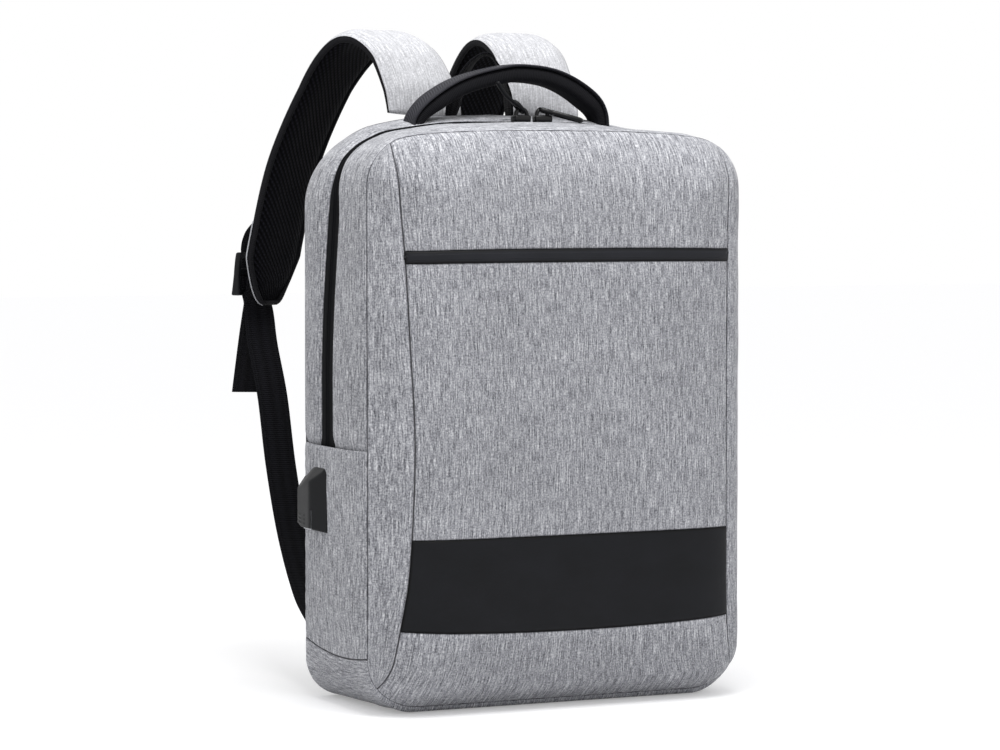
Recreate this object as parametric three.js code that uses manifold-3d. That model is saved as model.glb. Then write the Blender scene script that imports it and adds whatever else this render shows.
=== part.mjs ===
// A laptop backpack in grey melange cloth with a front-opening lid, two shoulder straps and a charging port.
// Millimetres, +Z up. The front faces -Y, the wearer stands at +Y, and the origin is the middle of the base.
import * as THREE from 'three';
import { mergeVertices } from 'three/addons/utils/BufferGeometryUtils.js';
import Module from 'manifold-3d';

const wasm = await Module();
wasm.setup();

// Overall body
const halfWidth = 150;
const seamY = -57; // plane of the front panel's outer seam
const backY = 58; // outer face of the back panel
const backHeight = 429; // top of the back panel
const frontDrop = 13; // from there down to the top of the front seam
const frontHeight = backHeight - frontDrop;
const frontCornerRadius = 38;
const backCornerRadius = 56;
const bottomCornerRadius = 40;
const wall = 2.4; // cloth with its backing foam
const backThickness = 4.2;
const gap = 0.3; // between pieces that touch
const frontCrown = 33; // how far the front swells past its seam
const crownReach = 18; // distance from the seam over which it swells

// Front panels
const goreX = 129; // seam between the centre panels and the side gores
const stripHeight = 9;
const stripThickness = 1.8;
const stripDrop = 89; // from the front seam's top down to the strip
const stripZ = frontHeight - stripDrop;
const bandTop = 126.5;
const bandBottom = 62;
const frontFootZ = 1.2;

// Main zip and the crease that the lid folds about
const zipY = 8;
const tapeWidth = 9;
const tapeThickness = 1.4;
const zipBottomZ = 188.5;
const zipSink = 0.7;

// Side pockets
const pocketFloorZ = 41;
const pocketRoom = 8.7;
const pocketSkin = 1.6;
const pocketProud = 1.6;

// Inside
const sleeveRoom = 17;
const dividerThickness = 6;
const dividerHeight = 295;
const dividerHalfWidth = 136;
const boardThickness = 2.5;
const boardHalfWidth = 108;
const liningDepth = 15;
const liningThickness = 1.4;

// Back pads
const padThickness = 8;
const padWidth = 92;
const padFromCentre = 12;
const padBottomZ = 112;
const padTopZ = backHeight - 51;
const lumbarHalfWidth = 104;
const lumbarBottomZ = 42;
const lumbarTopZ = 98;

// Charging port
const portWidth = 42;
const portHeight = 45;
const portProud = 8.5;
const portY = 29;
const portZ = 149.5;
const socketWidth = 14;
const socketThickness = 6.6;
const socketDepth = 14;
const plateThickness = 1.4;
const slotWidth = 12.2;
const slotThickness = 4.8;
const slotDepth = 10;

// Carry handle and hang loop
const handleY = 26;
const handleHalfSpan = 88;
const handleRise = 36;
const handleWidth = 28;
const handleWebbing = 3;
const handlePadding = 9.5;
const handleInset = 2;
const handleFootWidth = 7; // pinched where it is sewn in
const handleTaper = 24; // length over which a foot widens
const handleFootFill = 0.25; // share of the padding left at its feet
const loopRise = 45;
const loopLean = 3; // how far its crown leans back
const loopY = 51.5;
const loopTurn = 1.1; // radians that its left leg is turned towards the front
const loopWebbing = 1.6;
const loopWidth = 22;
const loopFootWidth = 6;
const loopTaper = 20;
const swingGap = 0.9; // below feet that swing

// Shoulder straps
const strapX = 49;
const strapWidth = 60;
const strapRootY = 66.5;
const strapRootZ = backHeight - 1;
const leftSplay = 28; // degrees that the left strap's plane is turned outwards
const rightSplay = -6; // the right strap hangs nearly straight back
const strapTipLength = 34;
const strapTipWidth = 30;
const shellThickness = 1.5;
const foamThickness = 8;
const meshThickness = 2.2;
const rootSqueeze = 0.3; // the layers are sewn flat where the strap starts
const anchorHeight = 30;
const yokeThickness = 1.8;
const tabTopZ = 52; // top of the tab that the lower webbing is sewn into
const webWidth = 25;
const webThickness = 1.5;

// Ladder lock, at the strap's end
const lockReach = 151; // outwards from the strap's root
const lockZ = strapRootZ - 118;
const lockOut = 13.5; // outwards from the strap's middle
const lockWidth = 34;
const lockHeight = 30;
const lockThickness = 3.6;
const lockBar = 5.2;
const lockSlot = 7.2;

// Sliders
const sliderLength = 12;
const sliderWidth = 9;
const sliderHeight = 4;
const leftSliderX = 3;
const rightSliderX = 20;
const tabThickness = 1.6;
const tabWidth = 5;
const pocketSliderX = 27 - goreX;
const pocketSliderLength = 11;
const pocketSliderHeight = 7;

const cloth = { color: 0x9b9ca1, roughness: 0.9, metalness: 0 };
const leather = { color: 0x1b1b1f, roughness: 0.55, metalness: 0 };
const webbing = { color: 0x17171a, roughness: 0.8, metalness: 0 };
const airMesh = { color: 0x0f0f13, roughness: 0.95, metalness: 0 };
const lining = { color: 0x2c2d31, roughness: 0.85, metalness: 0 };
const foam = { color: 0x3b3c40, roughness: 0.95, metalness: 0 };
const plastic = { color: 0x1a1a1c, roughness: 0.45, metalness: 0 };
const steel = { color: 0x26262a, roughness: 0.3, metalness: 0.9 };
const tin = { color: 0xb9bbbd, roughness: 0.35, metalness: 0.9 };

const backpack = new THREE.Group();

function add(name, geometry, finish) {
  const mesh = new THREE.Mesh(geometry, new THREE.MeshStandardMaterial(finish));
  mesh.name = name;
  backpack.add(mesh);
  return mesh;
}

// Solids

function bare(geometry) {
  const copy = geometry.clone();
  copy.clearGroups();
  copy.deleteAttribute('normal');
  copy.deleteAttribute('uv');
  return mergeVertices(copy, 1e-4);
}

function signedVolume(geometry) {
  const points = geometry.attributes.position;
  const corners = [0, 1, 2].map(() => new THREE.Vector3());
  let sum = 0;
  for (let i = 0; i < geometry.index.count; i += 3) {
    corners.forEach((corner, k) => corner.fromBufferAttribute(points, geometry.index.getX(i + k)));
    sum += corners[0].dot(corners[1].clone().cross(corners[2])) / 6;
  }
  return sum;
}

// Turns a closed mesh's faces outwards.
function outwards(geometry) {
  if (signedVolume(geometry) < 0) {
    const index = geometry.index;
    for (let i = 0; i < index.count; i += 3) {
      const first = index.getX(i);
      index.setX(i, index.getX(i + 1));
      index.setX(i + 1, first);
    }
  }
  geometry.computeVertexNormals();
  return geometry;
}

// A slab of us by vs cells: place(u, v, side) gives each corner, on the inner side 0 or the outer side 1.
function slab(us, vs, place) {
  const box = new THREE.BoxGeometry(1, 1, 1, us, vs, 1);
  const points = box.attributes.position;
  for (let i = 0; i < points.count; i += 1) {
    const u = Math.round((points.getX(i) + 0.5) * us) / us;
    const v = Math.round((points.getY(i) + 0.5) * vs) / vs;
    const p = place(u, v, points.getZ(i) > 0 ? 1 : 0);
    points.setXYZ(i, p.x, p.y, p.z);
  }
  return outwards(bare(box));
}

function block(x0, x1, y0, y1, z0, z1) {
  const box = new THREE.BoxGeometry(x1 - x0, y1 - y0, z1 - z0);
  return bare(box.translate((x0 + x1) / 2, (y0 + y1) / 2, (z0 + z1) / 2));
}

function solidOf(geometry) {
  const closed = bare(geometry);
  return new wasm.Manifold(new wasm.Mesh({
    numProp: 3,
    vertProperties: new Float32Array(closed.attributes.position.array),
    triVerts: new Uint32Array(closed.index.array),
  }));
}

function geometryOf(solid) {
  const mesh = solid.getMesh();
  const geometry = new THREE.BufferGeometry();
  geometry.setAttribute('position', new THREE.BufferAttribute(mesh.vertProperties, 3));
  geometry.setIndex(new THREE.BufferAttribute(mesh.triVerts, 1));
  geometry.computeVertexNormals();
  return geometry;
}

function cut(geometry, ...tools) {
  return geometryOf(tools.reduce((left, tool) => left.subtract(solidOf(tool)), solidOf(geometry)));
}

function common(geometry, tool) {
  return geometryOf(solidOf(geometry).intersect(solidOf(tool)));
}

const mix = THREE.MathUtils.lerp;

// Values from one number to another, with the steps crowded towards the end where crowd is over 1.
function spread(from, to, steps, crowd = 1) {
  return Array.from({ length: steps + 1 }, (_, i) => mix(to, from, (1 - i / steps) ** crowd));
}

// An upright rounded rectangle on the base line, drawn in X and Z.
function panelShape(half, bottomZ, topZ, bottomRadius, topRadius) {
  const shape = new THREE.Shape();
  shape.moveTo(-half + bottomRadius, bottomZ);
  shape.lineTo(half - bottomRadius, bottomZ);
  shape.absarc(half - bottomRadius, bottomZ + bottomRadius, bottomRadius, -Math.PI / 2, 0);
  shape.absarc(half - topRadius, topZ - topRadius, topRadius, 0, Math.PI / 2);
  shape.absarc(-half + topRadius, topZ - topRadius, topRadius, Math.PI / 2, Math.PI);
  shape.absarc(-half + bottomRadius, bottomZ + bottomRadius, bottomRadius, Math.PI, 1.5 * Math.PI);
  return shape;
}

// A shape drawn in X and Z, thickened from y0 to y1.
function plate(shape, y0, y1, curveSegments = 7) {
  const solid = new THREE.ExtrudeGeometry(shape, { depth: y1 - y0, bevelEnabled: false, curveSegments });
  return outwards(bare(solid.rotateX(Math.PI / 2).translate(0, y1, 0)));
}

// Gussets: the top rises and its corners open out from the front seam to the back panel.

const cornerSteps = 7;
const topSteps = 4;
const archSteps = 2 * (1 + cornerSteps) + topSteps;

function arch(y, inset) {
  const share = (y - seamY) / (backY - seamY);
  const top = mix(frontHeight, backHeight, Math.sin(share * Math.PI / 2)) - inset;
  const radius = mix(frontCornerRadius, backCornerRadius, share) - inset;
  const half = halfWidth - inset;
  const left = [new THREE.Vector2(-half, zipBottomZ)];
  for (let i = 0; i <= cornerSteps; i += 1) {
    const turn = Math.PI - (i / cornerSteps) * Math.PI / 2;
    const x = -half + radius + radius * Math.cos(turn);
    left.push(new THREE.Vector2(x, top - radius + radius * Math.sin(turn)));
  }
  const middle = spread(-half + radius, half - radius, topSteps).slice(1, -1);
  const right = left.map((p) => new THREE.Vector2(-p.x, p.y)).reverse();
  return [...left, ...middle.map((x) => new THREE.Vector2(x, top)), ...right];
}

function gusset(y0, y1, inset, thickness, ySteps) {
  return slab(archSteps, ySteps, (u, v, side) => {
    const y = mix(y0, y1, v);
    const p = arch(y, inset + (side ? 0 : thickness))[Math.round(u * archSteps)];
    return new THREE.Vector3(p.x, y, p.y);
  });
}

function trough(inset) {
  const half = halfWidth - inset;
  const radius = bottomCornerRadius - inset;
  const left = [new THREE.Vector2(-half, pocketFloorZ)];
  for (let i = 0; i <= cornerSteps; i += 1) {
    const turn = Math.PI + (i / cornerSteps) * Math.PI / 2;
    const x = -half + radius + radius * Math.cos(turn);
    left.push(new THREE.Vector2(x, inset + radius + radius * Math.sin(turn)));
  }
  return [...left, ...left.map((p) => new THREE.Vector2(-p.x, p.y)).reverse()];
}

const innerBackY = backY - backThickness - gap;
const innerFrontY = seamY + wall + gap;

function bodyShell() {
  const steps = trough(0).length - 1;
  const bottom = slab(steps, 1, (u, v, side) => {
    const p = trough(side ? 0 : wall)[Math.round(u * steps)];
    return new THREE.Vector3(p.x, mix(innerFrontY, innerBackY, v), p.y);
  });
  add('bottom_panel', bottom, cloth);
  const backShape = panelShape(halfWidth, 0, backHeight, bottomCornerRadius, backCornerRadius);
  add('back_panel', plate(backShape, backY - backThickness, backY), lining);
  add('rear_gusset', gusset(zipY + tapeWidth + gap, innerBackY, 0, wall, 2), cloth);
  add('front_gusset', gusset(innerFrontY, zipY - tapeWidth - gap, 0, wall, 2), cloth);
  add('rear_zip_tape', gusset(zipY + gap / 2, zipY + tapeWidth, zipSink, tapeThickness, 1), webbing);
  add('front_zip_tape', gusset(zipY - tapeWidth, zipY - gap / 2, zipSink, tapeThickness, 1), webbing);
}

// Front panels: one swelling surface, cut along its seams.

function seamDistance(x, z) {
  const middle = frontHeight / 2;
  const radius = z > middle ? frontCornerRadius : bottomCornerRadius;
  const across = Math.abs(x) - (halfWidth - radius);
  const up = Math.abs(z - middle) - (middle - radius);
  const outside = Math.hypot(Math.max(across, 0), Math.max(up, 0));
  return Math.max(0, radius - outside - Math.min(Math.max(across, up), 0));
}

function frontY(x, z) {
  return seamY - frontCrown * (1 - Math.exp(-seamDistance(x, z) / crownReach));
}

function skin(xs, zs, nearOffset, farOffset) {
  return slab(xs.length - 1, zs.length - 1, (u, v, side) => {
    const x = xs[Math.round(u * (xs.length - 1))];
    const z = zs[Math.round(v * (zs.length - 1))];
    return new THREE.Vector3(x, frontY(x, z) + (side ? nearOffset : farOffset), z);
  });
}

const frontBottomRadius = bottomCornerRadius - frontFootZ;
const frontShape = panelShape(halfWidth, frontFootZ, frontHeight, frontBottomRadius, frontCornerRadius);
const frontPrism = plate(frontShape, seamY - 2 * frontCrown, seamY + 2 * wall);

const centreEdge = goreX - gap / 2;
const centreXs = [...spread(0, -centreEdge, 5, 1.5).reverse(), ...spread(0, centreEdge, 5, 1.5).slice(1)];

function centrePanel(name, zs, finish, thickness = wall) {
  add(name, common(skin(centreXs, zs, 0, thickness), frontPrism), finish);
}

function gore(name, side, zs, xSteps) {
  const xs = spread(side * (goreX + gap / 2), side * halfWidth, xSteps);
  add(name, common(skin(xs, zs, 0, wall), frontPrism), cloth);
}

function frontPanels() {
  const stripTop = stripZ + stripHeight / 2;
  const stripBottom = stripZ - stripHeight / 2;
  centrePanel('front_upper_panel', spread(stripTop + gap, frontHeight, 6, 2.2), cloth);
  centrePanel('front_pocket_zip', spread(stripBottom, stripTop, 1), leather, stripThickness);
  centrePanel('front_middle_panel', spread(zipBottomZ, stripBottom - gap, 3), cloth);
  centrePanel('front_lower_panel', spread(bandTop + gap, zipBottomZ - gap, 2), cloth);
  centrePanel('front_band', spread(bandBottom, bandTop, 3), leather);
  centrePanel('front_base_panel', spread(bandBottom - gap, 0, 6, 2.5).reverse(), cloth);
  const lower = spread(zipBottomZ - gap, 0, 7, 1.6).reverse();
  const upper = spread(zipBottomZ, frontHeight, 8, 1.6);
  for (const [side, word] of [[-1, 'left'], [1, 'right']]) {
    gore(`${word}_lower_gore`, side, lower, 4);
    gore(`${word}_upper_gore`, side, upper, 3);
  }
}

// The front pocket's inner bag hangs behind the strip, inside the lid.
function frontPocketLining() {
  const bottom = zipBottomZ + 2.5;
  const top = stripZ + stripHeight + 4;
  const near = wall + 2 * gap;
  const outside = skin(centreXs, spread(bottom, top, 4), near, near + liningDepth);
  const inner = centreXs.map((x) => x * (1 - liningThickness / centreEdge));
  const room = spread(bottom + liningThickness, top - liningThickness, 4);
  const hollow = skin(inner, room, -wall, near + liningDepth - liningThickness);
  add('front_pocket_lining', cut(outside, hollow), lining);
}

function sidePockets() {
  const outer = halfWidth + pocketProud;
  const inner = halfWidth - pocketRoom;
  const top = zipBottomZ;
  for (const [side, word] of [[-1, 'left'], [1, 'right']]) {
    const span = (near, far) => [side * near, side * far].sort((a, b) => a - b);
    const [x0, x1] = span(inner - wall, outer);
    const whole = block(x0, x1, innerFrontY, innerBackY, pocketFloorZ + gap, top);
    const [h0, h1] = span(inner - 2 * wall, outer - pocketSkin);
    const hollow = block(h0, h1, innerFrontY + pocketSkin, innerBackY - pocketSkin,
      pocketFloorZ + gap + pocketSkin, top + wall);
    add(`${word}_side_pocket`, cut(whole, hollow), cloth);
    const [w0, w1] = span(inner - wall, inner);
    const floor = pocketFloorZ + pocketSkin + 2 * gap;
    const panel = block(w0, w1, innerFrontY + pocketSkin + gap, innerBackY - pocketSkin - gap, floor, top);
    add(`${word}_side_panel`, panel, lining);
  }
}

function inside() {
  const boardTop = wall + gap + boardThickness;
  const [boardFront, boardBack] = [innerFrontY + 4, innerBackY - gap];
  add('base_board', block(-boardHalfWidth, boardHalfWidth, boardFront, boardBack, wall + gap, boardTop), plastic);
  const dividerY = innerBackY + gap - sleeveRoom - dividerThickness;
  const shape = panelShape(dividerHalfWidth, boardTop + gap, dividerHeight, 34, 14);
  add('laptop_divider', plate(shape, dividerY, dividerY + dividerThickness, 4), lining);
}

function backPads() {
  const near = backY + gap;
  const far = near + padThickness;
  for (const [side, word] of [[-1, 'left'], [1, 'right']]) {
    const shape = panelShape(padWidth / 2, padBottomZ, padTopZ, 16, 22);
    const pad = plate(shape, near, far, 4).translate(side * (padFromCentre + padWidth / 2), 0, 0);
    add(`back_pad_${word}`, pad, airMesh);
  }
  const lumbar = panelShape(lumbarHalfWidth, lumbarBottomZ, lumbarTopZ, 18, 18);
  add('lumbar_pad', plate(lumbar, near, far, 4), airMesh);
}

// Charging port on the left side pocket: a moulded housing, the metal socket in it and a plate in the pocket.
function chargingPort() {
  const faceX = -(halfWidth + pocketProud) - gap;
  const outline = new THREE.Shape();
  const half = portHeight / 2;
  const crest = faceX - portProud;
  outline.moveTo(faceX, portZ - half);
  outline.lineTo(crest + 2, portZ - half);
  outline.lineTo(crest, portZ - half + 2);
  outline.lineTo(crest, portZ + half - 15);
  outline.quadraticCurveTo(crest, portZ + half - 4, faceX + 1.5 - portProud / 2, portZ + half);
  outline.lineTo(faceX, portZ + half);
  const housing = plate(outline, portY - portWidth / 2, portY + portWidth / 2, 4);
  const socketX = faceX - portProud / 2 - 0.3;
  const bottom = portZ - half;
  const bore = (width, thickness, z0, z1) => block(
    socketX - thickness / 2, socketX + thickness / 2, portY - width / 2, portY + width / 2, z0, z1);
  const hole = bore(socketWidth + 2 * gap, socketThickness + gap, bottom - wall, bottom + socketDepth + gap);
  add('usb_housing', cut(housing, hole), plastic);
  const shell = bore(socketWidth, socketThickness - gap, bottom, bottom + socketDepth);
  add('usb_socket', cut(shell, bore(slotWidth, slotThickness, bottom - wall, bottom + slotDepth)), tin);
  const plateX = -(halfWidth + pocketProud) + pocketSkin + gap;
  const inset = 3;
  const plateHalf = portWidth / 2 - inset;
  add('usb_backing_plate', block(plateX, plateX + plateThickness, portY - plateHalf, portY + plateHalf,
    bottom + inset, portZ + half - inset), plastic);
}

// Flat bands along a curve. widthAt(v) and acrossAt(v) give the band's width and the way it lies,
// and layerAt(v, side) how far each face stands off the curve.
function band(curve, steps, widthAt, acrossAt, layerAt, across = 2) {
  return slab(across, steps, (u, v, side) => {
    const along = curve.getTangentAt(v);
    const width = acrossAt(v);
    width.addScaledVector(along, -width.dot(along)).normalize();
    const normal = along.clone().cross(width);
    return curve.getPointAt(v).addScaledVector(width, (u - 0.5) * widthAt(v))
      .addScaledVector(normal, layerAt(v, side));
  });
}

const topAt = (y) => arch(y, 0)[1 + cornerSteps + topSteps / 2].y;

// An arch that rises over the top at depth y, from foot to foot.
function overTop(y, halfSpan, foot, rise) {
  const points = [[-1, 0], [-1, 0.1], [-0.93, 0.31], [-0.8, 0.54], [-0.58, 0.81], [-0.3, 0.96], [0, 1]];
  const all = [...points, ...points.slice(0, -1).reverse().map(([x, z]) => [-x, z])];
  return new THREE.CatmullRomCurve3(all.map(([x, z]) => new THREE.Vector3(x * halfSpan, y, foot + z * rise)));
}

// A width that is pinched at both feet of a curve.
function pinched(curve, foot, full, taper) {
  const length = curve.getLength();
  return (v) => mix(foot, full, THREE.MathUtils.smoothstep(Math.min(v, 1 - v) * length, 0, taper));
}

function carryHandle() {
  const foot = topAt(handleY + handleFootWidth / 2) + swingGap;
  const curve = overTop(handleY, handleHalfSpan, foot, handleRise);
  const depth = () => new THREE.Vector3(0, 1, 0);
  const outer = (v, side) => (side ? 0 : -handleWebbing);
  const width = pinched(curve, handleFootWidth, handleWidth, handleTaper);
  add('handle_webbing', band(curve, 30, width, depth, outer, 1), webbing);
  const fill = pinched(curve, handleFootFill, 1, handleTaper);
  const inner = (v, side) => -handleWebbing - gap - (side ? handlePadding * fill(v) : 0);
  add('handle_padding', band(curve, 30, (v) => width(v) - 2 * handleInset, depth, inner, 1), webbing);
}

function hangLoop() {
  const foot = backHeight + swingGap;
  const legs = [[-34, 0], [-34, 0.06], [-28, 0.4], [-17, 0.82], [-4, 1], [6, 0.84], [12.5, 0.42], [14, 0.06],
    [14, 0]];
  const points = legs.map(([x, up]) => new THREE.Vector3(x, loopY + loopLean * up, foot + up * loopRise));
  const curve = new THREE.CatmullRomCurve3(points);
  const depth = (v) => new THREE.Vector3(Math.sin(loopTurn * (1 - v)), Math.cos(loopTurn * (1 - v)), 0);
  const face = (v, side) => (side ? loopWebbing / 2 : -loopWebbing / 2);
  const width = pinched(curve, loopFootWidth, loopWidth, loopTaper);
  add('hang_loop', band(curve, 20, width, depth, face, 1), webbing);
}

// Straps are drawn at +X and mirrored for the other side.

function addPair(name, geometry, finish) {
  add(`right_${name}`, geometry, finish);
  add(`left_${name}`, outwards(geometry.clone().scale(-1, 1, 1)), finish);
}

// The free straps differ: each hangs in its own upright plane.
function addSide(side, name, geometry, finish) {
  const placed = side.word === 'left' ? outwards(geometry.scale(-1, 1, 1)) : geometry;
  add(`${side.word}_${name}`, placed, finish);
}

// each point of a lower strap's free run: inwards from the side, outwards from the back, and its share of the height
const strapSides = [
  { word: 'right', splay: THREE.MathUtils.degToRad(rightSplay),
    run: [[101, 147, 0.67], [77, 123, 0.455], [46, 91, 0.244], [24, 50, 0.079], [21, 12.7, 0]] },
  { word: 'left', splay: THREE.MathUtils.degToRad(leftSplay),
    run: [[29, 135, 0.67], [29, 118, 0.455], [27.5, 90, 0.244], [24, 50, 0.079], [21, 12.7, 0]] },
];

// A point in the strap's own upright plane: reach is outwards from the root.
function strapPoint(side, reach, z) {
  const { splay } = side;
  return new THREE.Vector3(strapX + Math.sin(splay) * reach, strapRootY + Math.cos(splay) * reach, z);
}

// The way that the strap's width lies, from straight across at its root to the splay.
function strapAcross(side, turned) {
  const turn = side.splay * turned;
  return new THREE.Vector3(Math.cos(turn), -Math.sin(turn), 0);
}

function strapCurve(side) {
  const points = [[0, 0], [0, 6], [6, 25], [21, 48], [45, 59], [68, 47], [93, 19], [126, -32], [145, -91],
    [152, -126], [153, -142]];
  return new THREE.CatmullRomCurve3(points.map(([reach, rise]) => strapPoint(side, reach, strapRootZ + rise)));
}

function strap(side) {
  const curve = strapCurve(side);
  const length = curve.getLength();
  const width = (v) => Math.min(strapWidth, strapTipWidth + (strapWidth - strapTipWidth)
    * Math.sqrt(Math.max(0, (1 - v) * length / strapTipLength)));
  const across = (v) => strapAcross(side, Math.min(1, v * 2.2));
  const flat = (v) => Math.min(1, rootSqueeze + 12 * v);
  const layers = [
    ['shell', -foamThickness / 2 - gap - shellThickness, -foamThickness / 2 - gap, cloth, 0],
    ['foam', -foamThickness / 2, foamThickness / 2, foam, 2],
    ['mesh', foamThickness / 2 + gap, foamThickness / 2 + gap + meshThickness, airMesh, 0],
  ];
  for (const [layer, low, high, finish, inset] of layers) {
    const offset = (v, part) => (part ? high : low) * flat(v);
    addSide(side, `strap_${layer}`, band(curve, 26, (v) => width(v) - inset, across, offset, 4), finish);
  }
}

function strapAnchor() {
  const low = new THREE.Vector3(strapX, strapRootY, strapRootZ - gap - anchorHeight);
  const high = new THREE.Vector3(strapX, strapRootY, strapRootZ - swingGap);
  const back = strapRootY - backY - yokeThickness - 2 * gap;
  const face = (v, part) => (part ? (foamThickness / 2 + meshThickness) * rootSqueeze : -back);
  const curve = new THREE.LineCurve3(low, high);
  addPair('strap_anchor', band(curve, 1, () => strapWidth, () => new THREE.Vector3(1, 0, 0), face, 1), cloth);
}

function yoke() {
  const half = strapX + strapWidth / 2 + 4;
  const top = strapRootZ - 2;
  const bottom = padTopZ + 4;
  const shape = panelShape(half, bottom, top, 6, 10);
  add('strap_yoke', plate(shape, backY + gap, backY + gap + yokeThickness, 4), cloth);
}

function ladderLock(side) {
  const half = lockWidth / 2;
  const end = lockHeight / 2;
  const corner = 2;
  const shape = new THREE.Shape([[-half + corner, -end], [half - corner, -end], [half, -end + corner],
    [half, end - corner], [half - corner, end], [-half + corner, end], [-half, end - corner],
    [-half, -end + corner]].map(([x, z]) => new THREE.Vector2(x, z)));
  const slotHalf = webWidth / 2 + 0.8;
  for (const low of [lockBar / 2, -lockBar / 2 - lockSlot]) {
    const high = low + lockSlot;
    const corners = [[-slotHalf, low], [-slotHalf, high], [slotHalf, high], [slotHalf, low]];
    shape.holes.push(new THREE.Path(corners.map(([x, z]) => new THREE.Vector2(x, z))));
  }
  const frame = plate(shape, -lockThickness / 2, lockThickness / 2, 1);
  const middle = strapPoint(side, lockReach + lockOut, lockZ);
  addSide(side, 'ladder_lock', frame.rotateZ(-side.splay).translate(middle.x, middle.y, middle.z), plastic);
}

// A point that stands off the strap's outer face, at height z on its hanging part.
function outsideStrap(side, z, off) {
  const curve = strapCurve(side);
  let v = 1;
  while (curve.getPointAt(v).z < z) {
    v -= 0.002;
  }
  const outward = strapAcross(side, 1).cross(curve.getTangentAt(v)).normalize();
  return curve.getPointAt(v).addScaledVector(outward, off);
}

// Webbing: the loop that holds the lock on the strap, the lower strap up to it and the loose tail.
function strapWebbing(side) {
  const face = (v, part) => (part ? webThickness / 2 : -webThickness / 2);
  const web = (name, points, steps) => {
    const curve = new THREE.CatmullRomCurve3(points);
    addSide(side, name, band(curve, steps, () => webWidth, () => strapAcross(side, 1), face, 1), webbing);
  };
  const lockMiddle = lockReach + lockOut;
  const surface = foamThickness / 2 + shellThickness + 3 * gap + webThickness / 2;
  const above = lockZ + lockHeight / 2 + swingGap;
  const at = (reach, z) => strapPoint(side, reach, z);
  web('lock_holder', [outsideStrap(side, above + 32, surface), outsideStrap(side, above + 22, surface),
    at(lockMiddle, above + 6), at(lockMiddle, above)], 6);
  const under = lockZ - lockHeight / 2 - gap;
  const runPoints = side.run.map(([inwards, out, share]) => new THREE.Vector3(halfWidth - inwards, backY + out,
    mix(tabTopZ + gap * 3, under, share)));
  web('lower_webbing', [at(lockMiddle, under), at(lockMiddle, under - 6), at(lockReach + 8, under - 40),
    ...runPoints], 18);
  const tailReach = lockMiddle + lockThickness / 2 + gap + webThickness / 2;
  web('strap_tail', [at(tailReach, lockZ + 4), at(tailReach + 2, lockZ - 18), at(tailReach + 7, lockZ - 48),
    at(tailReach + 10, lockZ - 90)], 6);
}

// The lower straps are sewn into a folded tab at each lower back corner.
function webbingTab() {
  const near = backY + gap;
  addPair('web_tab', slab(1, 1, (u, v, part) => new THREE.Vector3(
    halfWidth - mix(33, 8, u), near + (part ? mix(3, 11, v) : 0), mix(tabTopZ - 28, tabTopZ, v))), cloth);
}

// Sliders ride on the tapes, with a hinged pull each.
function slider(word, x, tabEnd) {
  const top = topAt(zipY + sliderWidth / 2) - zipSink + gap;
  const outline = new THREE.Shape();
  outline.moveTo(-sliderLength / 2, 0);
  outline.lineTo(sliderLength / 2, 0);
  outline.lineTo(sliderLength / 2 - 1, sliderHeight * 0.6);
  outline.lineTo(2, sliderHeight);
  outline.lineTo(-2, sliderHeight);
  outline.lineTo(-sliderLength / 2 + 1, sliderHeight * 0.6);
  const sliderBody = plate(outline, zipY - sliderWidth / 2, zipY + sliderWidth / 2, 1);
  add(`${word}_slider`, sliderBody.translate(x, 0, top), steel);
  const pivot = new THREE.Vector3(x, zipY, top + sliderHeight + 2 * gap + tabThickness / 2);
  const curve = new THREE.LineCurve3(pivot, tabEnd);
  const face = (v, part) => (part ? tabThickness / 2 : -tabThickness / 2);
  const across = () => new THREE.Vector3(0, 1, 0);
  add(`${word}_pull_tab`, band(curve, 3, () => tabWidth, across, face, 1), steel);
}

function zipSliders() {
  slider('left', leftSliderX, new THREE.Vector3(leftSliderX - 21, 3, topAt(3) + 27));
  slider('right', rightSliderX, new THREE.Vector3(rightSliderX + 26, -2, topAt(-2) + gap + tabThickness));
  const outerX = pocketSliderX - pocketSliderLength / 2;
  const behind = frontY(outerX, stripZ) + stripThickness + 3 * gap;
  add('pocket_slider', block(outerX, outerX + pocketSliderLength, behind, behind + 3,
    stripZ - pocketSliderHeight / 2, stripZ + pocketSliderHeight / 2), steel);
}

bodyShell();
frontPanels();
frontPocketLining();
sidePockets();
inside();
backPads();
chargingPort();
yoke();
strapAnchor();
for (const side of strapSides) {
  strap(side);
  ladderLock(side);
  strapWebbing(side);
}
webbingTab();
carryHandle();
hangLoop();
zipSliders();

export default backpack;
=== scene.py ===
import math
import bmesh
import bpy
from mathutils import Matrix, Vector, noise


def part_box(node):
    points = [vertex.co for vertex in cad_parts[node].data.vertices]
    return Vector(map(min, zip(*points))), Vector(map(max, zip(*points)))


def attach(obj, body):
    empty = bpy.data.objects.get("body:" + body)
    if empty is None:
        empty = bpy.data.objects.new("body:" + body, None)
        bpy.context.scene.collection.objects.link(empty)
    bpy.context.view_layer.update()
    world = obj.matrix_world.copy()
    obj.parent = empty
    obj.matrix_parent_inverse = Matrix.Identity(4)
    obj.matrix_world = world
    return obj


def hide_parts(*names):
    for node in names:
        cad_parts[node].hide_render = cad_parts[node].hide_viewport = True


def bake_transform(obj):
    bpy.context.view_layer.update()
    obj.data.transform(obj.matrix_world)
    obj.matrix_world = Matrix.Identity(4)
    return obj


# A laptop backpack in grey melange cloth. Metres, front towards -Y, wearer at +Y.
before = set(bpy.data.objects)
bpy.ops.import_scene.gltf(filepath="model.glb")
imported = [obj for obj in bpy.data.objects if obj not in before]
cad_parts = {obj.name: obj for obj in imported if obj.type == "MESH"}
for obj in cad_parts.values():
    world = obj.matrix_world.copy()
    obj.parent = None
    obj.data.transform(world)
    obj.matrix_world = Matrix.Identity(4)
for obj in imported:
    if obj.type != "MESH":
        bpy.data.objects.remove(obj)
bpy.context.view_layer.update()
print("frame loaded")


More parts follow.
